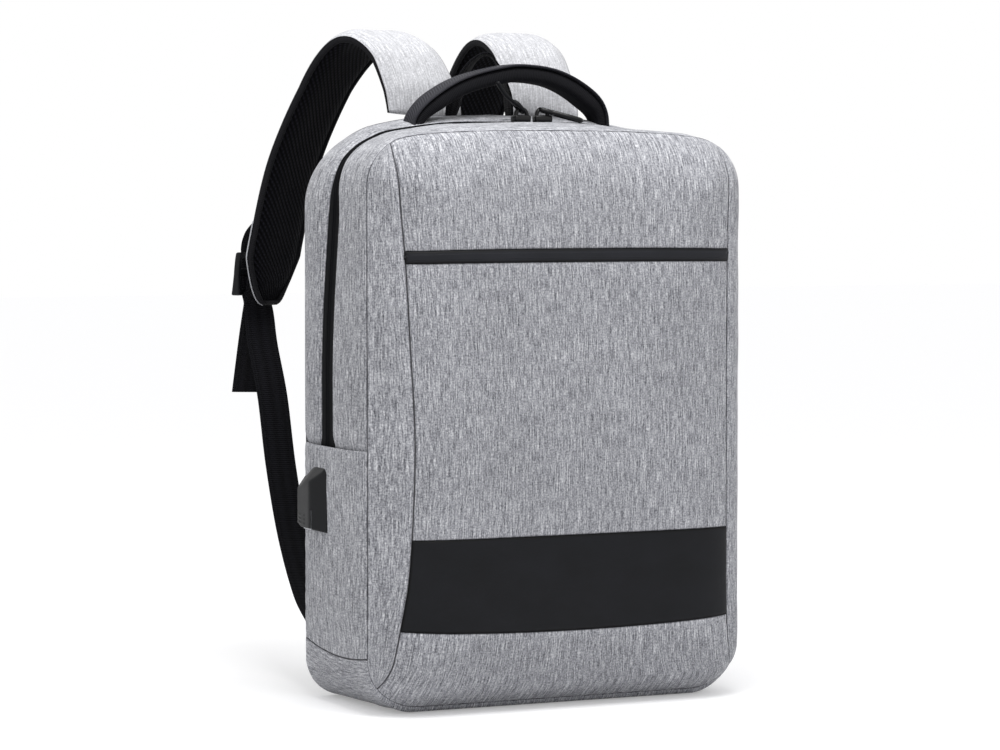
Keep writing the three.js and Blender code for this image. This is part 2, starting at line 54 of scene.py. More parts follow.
# small tools

def mix(a, b, share):
    return a + (b - a) * share


def smooth(low, high, value):
    share = min(1, max(0, (value - low) / (high - low)))
    return share * share * (3 - 2 * share)


def linear(code):  # "#rrggbb" as it looks on a screen, to the linear colour that a shader takes
    parts = [int(code[i:i + 2], 16) / 255 for i in (1, 3, 5)]
    return tuple(c / 12.92 if c <= 0.04045 else ((c + 0.055) / 1.055) ** 2.4 for c in parts) + (1,)


# adds a node: inputs holds values or other nodes' outputs, colours the stops of a ramp
def addNode(tree, kind, inputs=None, output=0, colours=(), **settings):
    node = tree.nodes.new("ShaderNode" + kind)
    for name, value in settings.items():
        setattr(node, name, value)
    for key, value in (inputs or {}).items():
        if isinstance(value, bpy.types.NodeSocket):
            tree.links.new(value, node.inputs[key])
        else:
            node.inputs[key].default_value = value
    if colours:
        ramp = node.color_ramp
        ramp.elements.remove(ramp.elements[1])
        ramp.elements[0].position = colours[0][0]
        ramp.elements[0].color = linear(colours[0][1])
        for place, code in colours[1:]:
            ramp.elements.new(place).color = linear(code)
    return node.outputs[output]


def newMaterial(name, colour, **values):
    material = bpy.data.materials.new(name)
    material.use_nodes = True
    tree = material.node_tree
    shader = tree.nodes["Principled BSDF"]
    shader.inputs["Base Color"].default_value = linear(colour)
    for key, value in values.items():
        shader.inputs[key.replace("_", " ")].default_value = value
    return material, tree, shader


def multiply(tree, first, second):
    return addNode(tree, "Mix", {0: 1.0, 6: first, 7: second}, output=2, data_type="RGBA", blend_type="MULTIPLY")


def addBump(tree, shader, height, distance, strength=1.0):
    normal = addNode(tree, "Bump", {"Height": height, "Distance": distance, "Strength": strength})
    tree.links.new(normal, shader.inputs["Normal"])


# noise on the cloth's own UV map, which is in metres: wide and long are a fleck's size
def fleck(tree, wide, long, detail=2.0, roughness=0.55, shift=0.0):
    place = addNode(tree, "UVMap", uv_map="Cloth")
    scaled = addNode(tree, "Mapping", {"Vector": place, "Location": (shift, shift, shift),
                                       "Scale": (1 / wide, 1 / long, 1)})
    return addNode(tree, "TexNoise", {"Vector": scaled, "Scale": 1.0, "Detail": detail, "Roughness": roughness})


def ribs(tree, wide, long, turn=0.0, distortion=0.0, bands="X"):
    place = addNode(tree, "UVMap", uv_map="Cloth")
    turned = addNode(tree, "Mapping", {"Vector": place, "Rotation": (0, 0, math.radians(turn))})
    scaled = addNode(tree, "Mapping", {"Vector": turned, "Scale": (1 / wide, 1 / long, 1)})
    # a wave texture repeats about every 0.314 at scale 1
    return addNode(tree, "TexWave", {"Vector": scaled, "Scale": 0.314, "Distortion": distortion},
                   output=1, bands_direction=bands, wave_profile="SIN")


def add(tree, first, second):
    return addNode(tree, "Math", {0: first, 1: second}, operation="ADD")


def times(tree, first, second):
    return addNode(tree, "Math", {0: first, 1: second}, operation="MULTIPLY")


def ramp(tree, value, *colours):
    return addNode(tree, "ValToRGB", {0: value}, colours=colours)


def paint(tree, shader, colour):
    tree.links.new(colour, shader.inputs["Base Color"])


def paintedSeamShading(tree, *colours):  # a ramp over the distance from the nearest seam, for painted shade in the seam's crease: 0.1 of it is 1 mm
    seam = addNode(tree, "Attribute", output=2, attribute_name="seam")
    return ramp(tree, times(tree, seam, 0.1), *colours)


def solidNoise(tree, scale, detail):  # noise in the piece's own space
    place = addNode(tree, "TexCoord", output="Object")
    return addNode(tree, "TexNoise", {"Vector": place, "Scale": float(scale), "Detail": float(detail)})


# materials

# Melange polyester, woven from light and dark yarns with a foam backing: it reads as matt grey with short streaks
# along the warp.
# The dark creases where it is sewn are painted shade, with a faint painted highlight on the rolled edge beside them.
cloth = dict(warpWide=0.0008, warpLong=0.0088, slubWide=0.0012, slubLong=0.030, weftWide=0.0032, weftLong=0.0008,
             speckWide=0.0008, speckLong=0.0016)  # real yarns are 0.4 mm; drawn coarse enough to show


def greyMelange(name="melange_polyester_woven", pale=0.0):
    material, tree, shader = newMaterial(name, "#a0a1a6", Roughness=0.92, Sheen_Weight=0.15,
                                         Sheen_Roughness=0.5, Specular_IOR_Level=0.25)
    warp = fleck(tree, cloth["warpWide"], cloth["warpLong"], 3)
    slub = fleck(tree, cloth["slubWide"], cloth["slubLong"], 2, shift=7)
    weft = fleck(tree, cloth["weftWide"], cloth["weftLong"], 2, shift=13)
    speck = fleck(tree, cloth["speckWide"], cloth["speckLong"], 2, shift=21)
    both = add(tree, times(tree, warp, 0.38), times(tree, slub, 0.19))
    fine = add(tree, times(tree, weft, 0.14), times(tree, speck, 0.29))
    yarn = add(tree, both, fine)
    colour = ramp(tree, yarn, (0.37, "#494a50"), (0.45, "#83848a"), (0.50, "#a0a1a7"), (0.55, "#bdbec3"),
                  (0.63, "#eaeaee"))
    patch = fleck(tree, 0.05, 0.09, 2, shift=3)
    tone = ramp(tree, patch, (0.3, "#f0f0f0"), (0.7, "#ffffff"))
    # painted shade in the crease along each seam, and a faint painted highlight on the rolled edge about a millimetre
    # from it
    paintedShading = paintedSeamShading(tree, (0.0, "#4c4c50"), (0.03, "#6a6a6e"), (0.07, "#e2e2e3"), (0.12, "#ffffff"),
                      (0.25, "#fbfbfb"), (0.50, "#f4f4f4"))
    lit = multiply(tree, multiply(tree, colour, tone), paintedShading)
    # pale mixes the colour towards near white: painted light, which makes a lit copy of the cloth
    paintedLitColour = addNode(tree, "Mix", {0: pale, 6: lit, 7: linear("#f4f4f6")}, output=2, data_type="RGBA")
    paint(tree, shader, paintedLitColour)
    thread = add(tree, yarn, times(tree, ribs(tree, 0.0012, 0.0012, 0, 0.6), 0.12))
    addBump(tree, shader, thread, 0.0010, 0.42)
    return material


# Smooth polyurethane leather, calendered: near black with a soft wide sheen and hardly any grain.
def smoothLeather(name, dark, light):
    material, tree, shader = newMaterial(name, dark, Roughness=0.55, Specular_IOR_Level=0.16)
    grain = fleck(tree, 0.0012, 0.0012, 4, 0.6)
    soft = fleck(tree, 0.045, 0.03, 2)
    colour = ramp(tree, soft, (0.3, dark), (0.7, light))
    # painted shade in the crease along each seam
    paintedShading = paintedSeamShading(tree, (0.0, "#404040"), (0.1, "#b0b0b0"), (0.2, "#ffffff"))
    paint(tree, shader, multiply(tree, colour, paintedShading))
    addBump(tree, shader, add(tree, times(tree, grain, 0.25), soft), 0.0010, 0.35)
    return material


# Polypropylene webbing, woven: black with fine ribs across it and a dull edge.
def blackWebbing():
    material, tree, shader = newMaterial("polypropylene_webbing_woven", "#0d0d11", Roughness=0.78,
                                         Specular_IOR_Level=0.12)
    across = ribs(tree, 0.05, 0.0016, 0, 0.4, bands="Y")
    lengthwise = ribs(tree, 0.0032, 0.05, 0, 0.2)
    weave = add(tree, across, times(tree, lengthwise, 0.8))
    colour = ramp(tree, times(tree, weave, 0.55), (0.1, "#08080b"), (0.9, "#17171c"))
    paint(tree, shader, colour)
    addBump(tree, shader, weave, 0.00045, 0.8)
    return material


# Herringbone twill tape that covers the handle: black, with a fine zigzag that catches some light.
def handleTwill():
    material, tree, shader = newMaterial("polyester_twill_herringbone", "#141418", Roughness=0.7,
                                         Specular_IOR_Level=0.2)
    place = addNode(tree, "UVMap", uv_map="Cloth")
    zig = addNode(tree, "TexWave", {"Vector": addNode(tree, "Mapping", {"Vector": place, "Scale": (1 / 0.012, 1, 1)}),
                                    "Scale": 0.314}, output=1, bands_direction="X", wave_profile="TRI")
    parts = addNode(tree, "SeparateXYZ", {0: place}, output=1)
    slanted = add(tree, times(tree, parts, 1 / 0.0022), times(tree, zig, 3.0))
    line = addNode(tree, "Math", {0: times(tree, slanted, 2 * math.pi)}, operation="SINE")
    raised = addNode(tree, "MapRange", {"Value": line, "From Min": -1.0, "From Max": 1.0})
    colour = ramp(tree, raised, (0.0, "#131317"), (1.0, "#37373e"))
    paint(tree, shader, colour)
    addBump(tree, shader, raised, 0.0003, 0.7)
    return material


# Knitted spacer mesh: black, thick and open, with slanting rows of ribs and holes that show as darker dots.
def airMesh():
    material, tree, shader = newMaterial("polyester_spacer_mesh_knitted", "#0a0a0e", Roughness=0.85,
                                         Specular_IOR_Level=0.08)
    slant = ribs(tree, 0.0034, 0.0034, 38, 0.5)
    cross = ribs(tree, 0.0030, 0.0030, -32, 0.5)
    knit = times(tree, slant, add(tree, times(tree, cross, 0.5), 0.5))
    colour = ramp(tree, knit, (0.05, "#030305"), (0.45, "#0b0b0f"), (1.0, "#1c1c23"))
    paint(tree, shader, colour)
    addBump(tree, shader, knit, 0.0011, 0.9)
    return material


# Polyester lining, plain woven and coated: dark grey, thin and slightly shiny.
def liningCloth():
    material, tree, shader = newMaterial("polyester_lining_plain", "#2b2c31", Roughness=0.6, Specular_IOR_Level=0.35)
    weave = add(tree, ribs(tree, 0.0014, 0.0014, 0), ribs(tree, 0.0014, 0.0014, 0, bands="Y"))
    creases = fleck(tree, 0.03, 0.05, 3, shift=4)
    colour = ramp(tree, creases, (0.3, "#26272b"), (0.7, "#34353a"))
    paint(tree, shader, colour)
    addBump(tree, shader, add(tree, times(tree, weave, 0.12), creases), 0.0009, 0.5)
    return material


# Grosgrain binding tape, woven: black, with ribs across its width and light stitches at its inner edge.
def bindingTape():
    material, tree, shader = newMaterial("polyester_binding_grosgrain", "#0c0c0f", Roughness=0.75,
                                         Specular_IOR_Level=0.15)
    rib = ribs(tree, 0.05, 0.0014, 0, 0.3, bands="Y")
    colour = ramp(tree, rib, (0.0, "#08080a"), (1.0, "#15151a"))
    paint(tree, shader, colour)
    addBump(tree, shader, rib, 0.0003, 0.7)
    return material


# Zip tape with its coil turned inwards: black, flat and closely woven, a little smoother beside the slit.
def zipTape():
    material, tree, shader = newMaterial("polyester_zip_tape_woven", "#0a0b0d", Roughness=0.7,
                                         Specular_IOR_Level=0.06)
    rib = ribs(tree, 0.0009, 0.0009, 0, 0.3)
    streak = fleck(tree, 0.0014, 0.05, 2)
    colour = ramp(tree, streak, (0.35, "#08090b"), (0.65, "#101114"))
    paint(tree, shader, colour)
    addBump(tree, shader, rib, 0.0002, 0.5)
    return material


# ABS, injection moulded with a fine spark finish: black, satin, with a faint grain.
def mouldedPlastic():
    material, tree, shader = newMaterial("abs_moulded_satin", "#0e0f12", Roughness=0.42, Specular_IOR_Level=0.16)
    grain = solidNoise(tree, 2200, 2)
    wear = solidNoise(tree, 60, 3)
    rough = addNode(tree, "MapRange", {"Value": wear, "To Min": 0.36, "To Max": 0.52})
    tree.links.new(rough, shader.inputs["Roughness"])
    addBump(tree, shader, grain, 0.0001, 0.5)
    return material


# Die-cast zinc, lacquered gloss black: deep black with small bright reflections.
def lacqueredZinc():
    material, tree, shader = newMaterial("zinc_cast_black_lacquer", "#070709", Roughness=0.35, Coat_Weight=0.35,
                                         Coat_Roughness=0.06, Specular_IOR_Level=0.15)
    ripple = solidNoise(tree, 420, 2)
    addBump(tree, shader, ripple, 0.0002, 0.4)
    return material


# Tin-plated steel, pressed: bright grey with fine drawing lines.
def tinPlate():
    material, tree, shader = newMaterial("steel_pressed_tinned", "#b9bbbf", Roughness=0.3, Metallic=1.0)
    place = addNode(tree, "TexCoord", output="Object")
    stretched = addNode(tree, "Mapping", {"Vector": place, "Scale": (4000, 4000, 200)})
    lines = addNode(tree, "TexNoise", {"Vector": stretched, "Scale": 1.0, "Detail": 2.0})
    addBump(tree, shader, lines, 0.00005, 0.5)
    return material


# Polyethylene sheet that stiffens the base, extruded: dark grey with a faint haze.
def stiffSheet():
    material, tree, shader = newMaterial("polyethylene_sheet_extruded", "#34353a", Roughness=0.5)
    haze = solidNoise(tree, 90, 4)
    colour = ramp(tree, haze, (0.3, "#303136"), (0.7, "#3a3b40"))
    paint(tree, shader, colour)
    addBump(tree, shader, haze, 0.0002, 0.4)
    return material


# Spun polyester thread, pale grey: a thin light line with a fine ply.
def paleSewingThread():
    material, tree, shader = newMaterial("thread_pale_spun", "#b9babf", Roughness=0.7, Specular_IOR_Level=0.3)
    addBump(tree, shader, solidNoise(tree, 3500, 1), 0.0002, 0.6)
    return material


grey = greyMelange()
litStrapGrey = greyMelange("melange_polyester_painted_lit", 0.29)  # the straps' cover is the same grey cloth painted lighter, as painted light where the lamp falls on the straps
leather = smoothLeather("polyurethane_leather_smooth", "#101114", "#15161a")
# the same leather drawn lighter, for the strip over the pocket zip
stripLeather = smoothLeather("polyurethane_leather_lighter", "#1d1e22", "#24252a")
webbing = blackWebbing()
twill = handleTwill()
mesh3d = airMesh()
lining = liningCloth()
binding = bindingTape()
zipCloth = zipTape()
plastic = mouldedPlastic()
lacquer = lacqueredZinc()
tin = tinPlate()
board = stiffSheet()
paleThread = paleSewingThread()
print("materials made")


# meshes

# distances from 0 to length, close together at the ends that are sewn, where the cloth rolls under
def stops(length, step, start=True, end=True):
    fine = [0, 0.0004, 0.0009, 0.0015, 0.0022, 0.0032, 0.0046, 0.0066]
    low = fine if start else [0]
    high = [length - d for d in reversed(fine if end else [0])]
    count = max(1, round((high[0] - low[-1]) / step))
    return low + [mix(low[-1], high[0], i / count) for i in range(1, count)] + high


def crease(distance, depth=0.0011, reach=0.0009):  # how far cloth dips beside a seam
    return -depth * math.exp(-distance / reach)


def ripple(point, size, depth, seed=0.0):  # soft unevenness of sewn cloth
    return depth * noise.noise(Vector(point) / size + Vector((seed, seed * 1.7, -seed)))


# A sheet of cloth: place(a, b, s) puts the corner that lies a across, b along and s from the nearest seam.
# Its UV map is in metres, and its seam attribute in millimetres.
def clothSheet(across, along, place, sewn=("left", "right", "bottom", "top"), coarse=1.0):
    mesh = bmesh.new()
    bmesh.ops.create_grid(mesh, x_segments=len(across) - 1, y_segments=len(along) - 1, size=0.5)
    uvs = mesh.loops.layers.uv.new("Cloth")
    seam = mesh.verts.layers.float.new("seam")
    spots = {}
    for corner in mesh.verts:
        a = across[round((corner.co.x + 0.5) * (len(across) - 1))]
        b = along[round((corner.co.y + 0.5) * (len(along) - 1))]
        spots[corner] = (a, b)
    for face in mesh.faces:
        face.smooth = True
        for loop in face.loops:
            loop[uvs].uv = (spots[loop.vert][0] * coarse, spots[loop.vert][1])
    for corner, (a, b) in spots.items():
        sides = {"left": a - across[0], "right": across[-1] - a, "bottom": b - along[0], "top": along[-1] - b}
        near = min([sides[side] for side in sewn] + [0.02])
        corner[seam] = near * 1000
        corner.co = place(a, b, near)
    return mesh


def faceAway(mesh, centre):  # turns an open sheet's faces away from a point
    mesh.normal_update()
    lean = sum(f.normal.dot(f.calc_center_median() - Vector(centre)) * f.calc_area() for f in mesh.faces)
    if lean < 0:
        bmesh.ops.reverse_faces(mesh, faces=mesh.faces[:])


def closeMesh(mesh):  # joins a sheet that was rolled into a tube, fills its ends and points its faces out
    bmesh.ops.remove_doubles(mesh, verts=mesh.verts[:], dist=0.00002)
    open_ = [edge for edge in mesh.edges if edge.is_boundary]
    if open_:
        bmesh.ops.holes_fill(mesh, edges=open_, sides=0)
    bmesh.ops.recalc_face_normals(mesh, faces=mesh.faces[:])
    for face in mesh.faces:
        face.smooth = len(face.verts) < 7


def newObject(name, mesh):
    data = bpy.data.meshes.new(name)
    mesh.to_mesh(data)
    mesh.free()
    made = bpy.data.objects.new(name, data)
    bpy.context.scene.collection.objects.link(made)
    return made


def makePiece(name, mesh, materials, slot, body=None, replaces=(), thick=0.0, away=None):
    if away is not None:
        faceAway(mesh, away)
    piece = newObject(name, mesh)
    for material in materials:
        piece.data.materials.append(material)
    if thick:
        wall = piece.modifiers.new("thickness", "SOLIDIFY")
        wall.thickness = thick
        wall.offset = -1
        wall.material_offset = len(materials) - 1
    if replaces:
        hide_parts(*replaces)
    if body:
        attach(piece, body)
    return piece


def through(points, at):  # a smooth line through (place, value) points
    index = max(i for i in range(len(points) - 1) if at >= points[i][0] or i == 0)
    (x0, y0), (x1, y1) = points[index], points[index + 1]
    before = points[max(0, index - 1)]
    after = points[min(len(points) - 1, index + 2)]
    t = min(1, max(0, (at - x0) / (x1 - x0)))
    slope0 = (y1 - before[1]) / (x1 - before[0]) * (x1 - x0)
    slope1 = (after[1] - y0) / (after[0] - x0) * (x1 - x0)
    return ((2 * t ** 3 - 3 * t ** 2 + 1) * y0 + (t ** 3 - 2 * t ** 2 + t) * slope0
            + (3 * t ** 2 - 2 * t ** 3) * y1 + (t ** 3 - t ** 2) * slope1)


# points an equal distance apart on a smooth curve through the given ones
def smoothRoute(points, count):
    knots = [Vector(p) for p in points]
    fine = []
    for i in range(len(knots) - 1):
        p0, p1, p2, p3 = knots[max(0, i - 1)], knots[i], knots[i + 1], knots[min(len(knots) - 1, i + 2)]
        for k in range(24):
            t = k / 24
            fine.append(0.5 * (2 * p1 + (p2 - p0) * t + (2 * p0 - 5 * p1 + 4 * p2 - p3) * t * t
                               + (3 * p1 - p0 - 3 * p2 + p3) * t ** 3))
    fine.append(knots[-1])
    total = sum((b - a).length for a, b in zip(fine, fine[1:]))
    route, walked, at = [fine[0]], 0.0, 0
    for k in range(1, count):
        goal = total * k / count
        while walked + (fine[at + 1] - fine[at]).length < goal:
            walked += (fine[at + 1] - fine[at]).length
            at += 1
        step = (fine[at + 1] - fine[at]).length
        route.append(fine[at].lerp(fine[at + 1], (goal - walked) / step))
    return route + [fine[-1]]


# frames along a route: each station's point, width direction and outward direction
def stations(route, lie):
    found = []
    for i, point in enumerate(route):
        ahead = (route[min(i + 1, len(route) - 1)] - route[max(i - 1, 0)]).normalized()
        wide = Vector(lie(i / (len(route) - 1)))
        wide = (wide - ahead * wide.dot(ahead)).normalized()
        found.append((point, wide, ahead.cross(wide)))
    return found


# A closed band along a route: section(turn, share) gives the sideways and outward offsets round it.
def bandMesh(route, lie, section, around=20):
    places = stations(route, lie)
    length = sum((b - a).length for a, b in zip(route, route[1:]))
    girth = [i / around for i in range(around + 1)]
    along = [length * i / (len(route) - 1) for i in range(len(route))]

    def place(a, b, s):
        index = round(b / length * (len(route) - 1))
        point, wide, out = places[index]
        sideways, outwards = section(2 * math.pi * a, index / (len(route) - 1))
        return point + wide * sideways + out * outwards

    mesh = clothSheet(girth, along, place, sewn=())
    layer = mesh.loops.layers.uv["Cloth"]
    widest = max(abs(section(2 * math.pi * a, 0.5)[0]) for a in girth)
    for face in mesh.faces:
        for loop in face.loops:  # the pattern lies flat across the band
            a = loop[layer].uv[0]
            loop[layer].uv[0] = widest * 2 * abs(1 - 2 * ((a + 0.5) % 1))
    closeMesh(mesh)
    return mesh


def curved(value, power):  # bends a sine or cosine, for sections between round and square
    return math.copysign(abs(value) ** power, value)


def roundedSection(halfWide, halfThick, power=4.0):
    def section(turn, share):
        c, s = math.cos(turn), math.sin(turn)
        wide = halfWide(share) if callable(halfWide) else halfWide
        thick = halfThick(share) if callable(halfThick) else halfThick
        return wide * curved(c, 2 / power), thick * curved(s, 2 / power)
    return section


# the bag's own shape: its seams and corners

# heel is the lower corner at the back
bag = dict(frontCorner=0.038, backCorner=0.056, bottomCorner=0.040, heel=0.030, crown=0.033, crownReach=0.018,
           droop=0.0045, backDroop=0.009, footLift=0.0042, welt=0.0060, zipSide=0.0104, zipTop=0.0042)
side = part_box("rear_gusset")[1].x
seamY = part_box("left_upper_gore")[1].y - 0.0024
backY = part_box("back_panel")[1].y
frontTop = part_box("front_upper_panel")[1].z + 0.001
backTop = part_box("back_panel")[1].z
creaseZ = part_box("front_gusset")[0].z
zipY = (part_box("front_zip_tape")[1].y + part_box("rear_zip_tape")[0].y) / 2
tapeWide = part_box("rear_zip_tape")[1].y - zipY
middle = (0, 0, 0.2)


def settle(point):  # the top sags a little towards its corners, as filled cloth does
    share = min(1, abs(point[0]) / 0.117) ** 3
    back = min(1, max(0, (point[1] - seamY) / (backY - seamY)))
    fall = bag["droop"] * share + bag["backDroop"] * back * smooth(0.04, 0.14, abs(point[0]))
    point[2] -= fall * smooth(0.30, 0.40, point[2])
    return point


def archPoint(share, y, lift=0.0, foot=None):
    foot = creaseZ if foot is None else foot
    back = (y - seamY) / (backY - seamY)
    top = mix(frontTop, backTop, max(0, back) ** 1.15)
    radius = mix(bag["frontCorner"], bag["backCorner"], back)
    upright, quarter = top - radius - foot, radius * math.pi / 2
    half = upright + quarter + side - radius
    walked = min(share, 1 - share) * 2 * half
    mirror = -1 if share <= 0.5 else 1
    if walked < upright:
        x, z, out = side, foot + walked, (1, 0)
    elif walked < upright + quarter:
        turn = (walked - upright) / radius
        out = (math.cos(turn), math.sin(turn))
        x, z = side - radius + radius * out[0], top - radius + radius * out[1]
    else:
        x, z, out = side - radius - (walked - upright - quarter), top, (0, 1)
    return settle(Vector((mirror * (x + out[0] * lift), y, z + out[1] * lift)))


def seamDistance(x, z):
    half = frontTop / 2
    radius = bag["frontCorner"] if z > half else bag["bottomCorner"]
    across = abs(x) - (side - radius)
    up = abs(z - half) - (half - radius)
    outside = math.hypot(max(across, 0), max(up, 0))
    return max(0, radius - outside - min(max(across, up), 0))


def frontPoint(x, z, lift=0.0):
    def depth(x, z):
        return seamY - bag["crown"] * (1 - math.exp(-seamDistance(x, z) / bag["crownReach"]))
    h = 0.0005
    out = Vector((depth(x + h, z) - depth(x - h, z), -2 * h, depth(x, z + h) - depth(x, z - h))).normalized()
    point = Vector((x, depth(x, z), z)) + out * lift
    point.z += bag["footLift"] * (1 - smooth(0, 0.04, z))
    return settle(point)


def halfWidth(z, height, low, high):  # at a height, between rounded lower and upper corners
    if z < low:
        return side - low + math.sqrt(max(0, low ** 2 - (low - z) ** 2))
    if z > height - high:
        return side - high + math.sqrt(max(0, high ** 2 - (z - height + high) ** 2))
    return side


def outlineX(z):  # half the width of the front
    return halfWidth(z, frontTop, bag["bottomCorner"], bag["frontCorner"])


def outlineZ(x, top):  # height of the front's upper or lower edge at a distance from the middle
    radius = bag["frontCorner"] if top else bag["bottomCorner"]
    over = max(0, abs(x) - (side - radius))
    rise = radius - math.sqrt(max(0, radius ** 2 - over ** 2))
    return frontTop - rise if top else rise


# the seams between the middle of the front and its side gores: (height, distance from the middle)
goreSeams = {
    -1: [(0.017, 0.1425), (0.039, 0.137), (0.062, 0.133), (0.099, 0.1275), (0.150, 0.1245), (0.198, 0.1235),
         (0.254, 0.126), (0.327, 0.1298), (0.354, 0.1318), (0.374, 0.1330), (0.392, 0.1338), (0.402, 0.1334),
        (0.4112, 0.1318)],
    1: [(0.017, 0.1425), (0.031, 0.134), (0.060, 0.1295), (0.120, 0.1285), (0.300, 0.1285), (0.392, 0.1305),
        (0.402, 0.1312), (0.4112, 0.1318)],
}


goreFoot, goreHead = 0.0168, 0.4112


def goreX(sign, z):
    return through(goreSeams[sign], min(goreHead, max(goreFoot, z)))


# front of the bag

def frontSheet(name, low, high, material, slot, replaces, body, step=0.003, lift=0.0, seed=0.0,
               thick=0.0022, wrinkle=0.0008):
    width, height = 0.256, high(0) - low(0)

    def place(a, b, near):
        share, up = a / width, b / height
        z = mix(low(0), high(0), up)
        for turn in range(8):  # the sides lean and the foot curves, so each needs the other
            x = mix(-goreX(-1, z), goreX(1, z), share)
            z = mix(z, mix(low(x), high(x), up), 0.6)
        z = mix(low(x), high(x), up)
        rough = ripple((x, 0, z), 0.06, wrinkle, seed) + ripple((x, 0, z), 0.022, wrinkle * 0.3, seed + 5)
        pucker = 0.6 * wrinkle * math.exp(-near / 0.007) * noise.noise(Vector((x, z, seed)) / 0.0045)
        return frontPoint(x, z, lift + crease(near) + rough * smooth(0, 0.02, near) + pucker)

    mesh = clothSheet(stops(width, step), stops(height, step), place)
    return makePiece(name, mesh, [material, lining], slot, body, replaces, thick, middle)


stripBox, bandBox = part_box("front_pocket_zip"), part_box("front_band")
stripLow, stripHigh = stripBox[0].z, stripBox[1].z
bandLow, bandHigh = bandBox[0].z, bandBox[1].z
bandSag = 0.0042


def bandFoot(x):
    return bandLow - bandSag * (1 - (x / 0.13) ** 2)


def frontOfBag():
    frontSheet("front_upper_cloth", lambda x: stripHigh, lambda x: outlineZ(x, True), grey, "grey_cloth",
               ["front_upper_panel"], "lid", seed=1)
    frontSheet("front_strip", lambda x: stripLow, lambda x: stripHigh, stripLeather, "smooth_leather",
               ["front_pocket_zip"], "lid", step=0.0022, lift=0.0009, seed=2, thick=0.0012, wrinkle=0.00012)
    lower = frontSheet("front_middle_cloth", lambda x: bandHigh, lambda x: stripLow, grey, "grey_cloth",
                       ["front_middle_panel", "front_lower_panel"], None, seed=3)
    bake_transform(lower)
    frontSheet("front_band_leather", bandFoot, lambda x: bandHigh, leather, "smooth_leather", ["front_band"], "bag",
               lift=0.0002, seed=4, thick=0.0016, wrinkle=0.0006)
    frontSheet("front_base_cloth", lambda x: outlineZ(x, False), bandFoot, grey, "grey_cloth",
               ["front_base_panel"], "bag", seed=5, wrinkle=0.0011)


def sideGores():
    height, width = goreHead - goreFoot, 0.024
    for sign, word in ((-1, "left"), (1, "right")):
        def place(a, b, near):
            z = goreFoot + b
            inner, outer = goreX(sign, z), outlineX(z)
            x = mix(inner, max(outer, inner + 0.0003), a / width)
            real = min(near, (outer - inner) * min(a, width - a) / width)
            rough = ripple((0, x, z), 0.035, 0.0012, 3 + sign) * smooth(0, 0.008, real)
            return frontPoint(sign * x, z, crease(real) + 0.0012 * smooth(0, 0.01, real) + rough)
        mesh = clothSheet(stops(width, 0.0025), stops(height, 0.003), place, ("left", "right"))
        piece = makePiece(f"{word}_gore_cloth", mesh, [grey, lining], "grey_cloth", None,
                          [f"{word}_upper_gore", f"{word}_lower_gore"], 0.002, middle)
        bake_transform(piece)


frontOfBag()
sideGores()
print("front panels made")


# gussets and zip

slit = dict(back=0.0102, front=-0.0062, run=0.78)  # how far it leans at its foot and near the top


def slitHeight(share):  # share runs from the left foot of the opening over the top to the right one
    return creaseZ + min(share, 1 - share) * slit["run"]


def zipAt(share):  # the slit's place from front to back: it leans on the sides
    height = slitHeight(share)
    return zipY + mix(slit["back"], slit["front"], smooth(0.245, 0.425, height)) * (1 - smooth(0.385, 0.435, height))


def zipGap(share):  # how far the cloth's edge stands off the slit: it closes over the top
    return mix(bag["zipSide"], bag["zipTop"], smooth(0.365, 0.432, slitHeight(share)))


def overTop(share):  # 1 where the slit runs over the top
    return smooth(0.40, 0.43, slitHeight(share))


def archSheet(name, y0, y1, material, slot, replaces, body, place, sewn, thick=0.0022, step=0.003, columns=None):
    length = 2 * (frontTop - creaseZ) + 2 * side - 0.04
    across = columns or stops(y1 - y0, step)

    def spot(a, b, near):
        return place(a / (y1 - y0), b / length, near, min(a, y1 - y0 - a))
    # the sides are mostly seen aslant, so their pattern is drawn twice as wide
    mesh = clothSheet(across, stops(length, 0.0035, False, False), spot, sewn, 0.5)
    return makePiece(name, mesh, [material, lining], slot, body, replaces, thick, middle)


def gussets():
    tuck = 0.0022  # their feet go inside the side pockets

    def surface(seed, puff, front):
        def place(part, share, near, inner):
            low, high = seamY, zipAt(share) - zipGap(share)
            if not front:
                low, high = zipAt(share) + zipGap(share), backY - 0.0004
            y = mix(low, high, part)
            fromZip = (high - y) if front else (y - low)
            at = archPoint(share, y)
            rough = ripple(at, 0.045, 0.0011, seed) + ripple(at, 0.016, 0.0003, seed + 9)
            rough += 0.0005 * math.exp(-near / 0.006) * noise.noise(at / 0.005)
            foot = min(share, 1 - share) * 0.7
            lift = crease(near) + puff * smooth(0, 0.016, inner) + rough * smooth(0, 0.012, near)
            lift -= mix(0.0016, 0.0004, overTop(share)) * math.exp(-fromZip / 0.003)
            return archPoint(share, y, lift - tuck * (1 - smooth(0.0, 0.012, foot)), creaseZ - 0.003)
        return place
    archSheet("front_gusset_cloth", seamY, zipY - tapeWide, grey, "grey_cloth", ["front_gusset"], "lid",
              surface(11, 0.0012, True), ("left", "right"))
    archSheet("rear_gusset_cloth", zipY + tapeWide, backY - 0.0004, grey, "grey_cloth", ["rear_gusset"], "bag",
              surface(17, 0.0014, False), ("left", "right"))


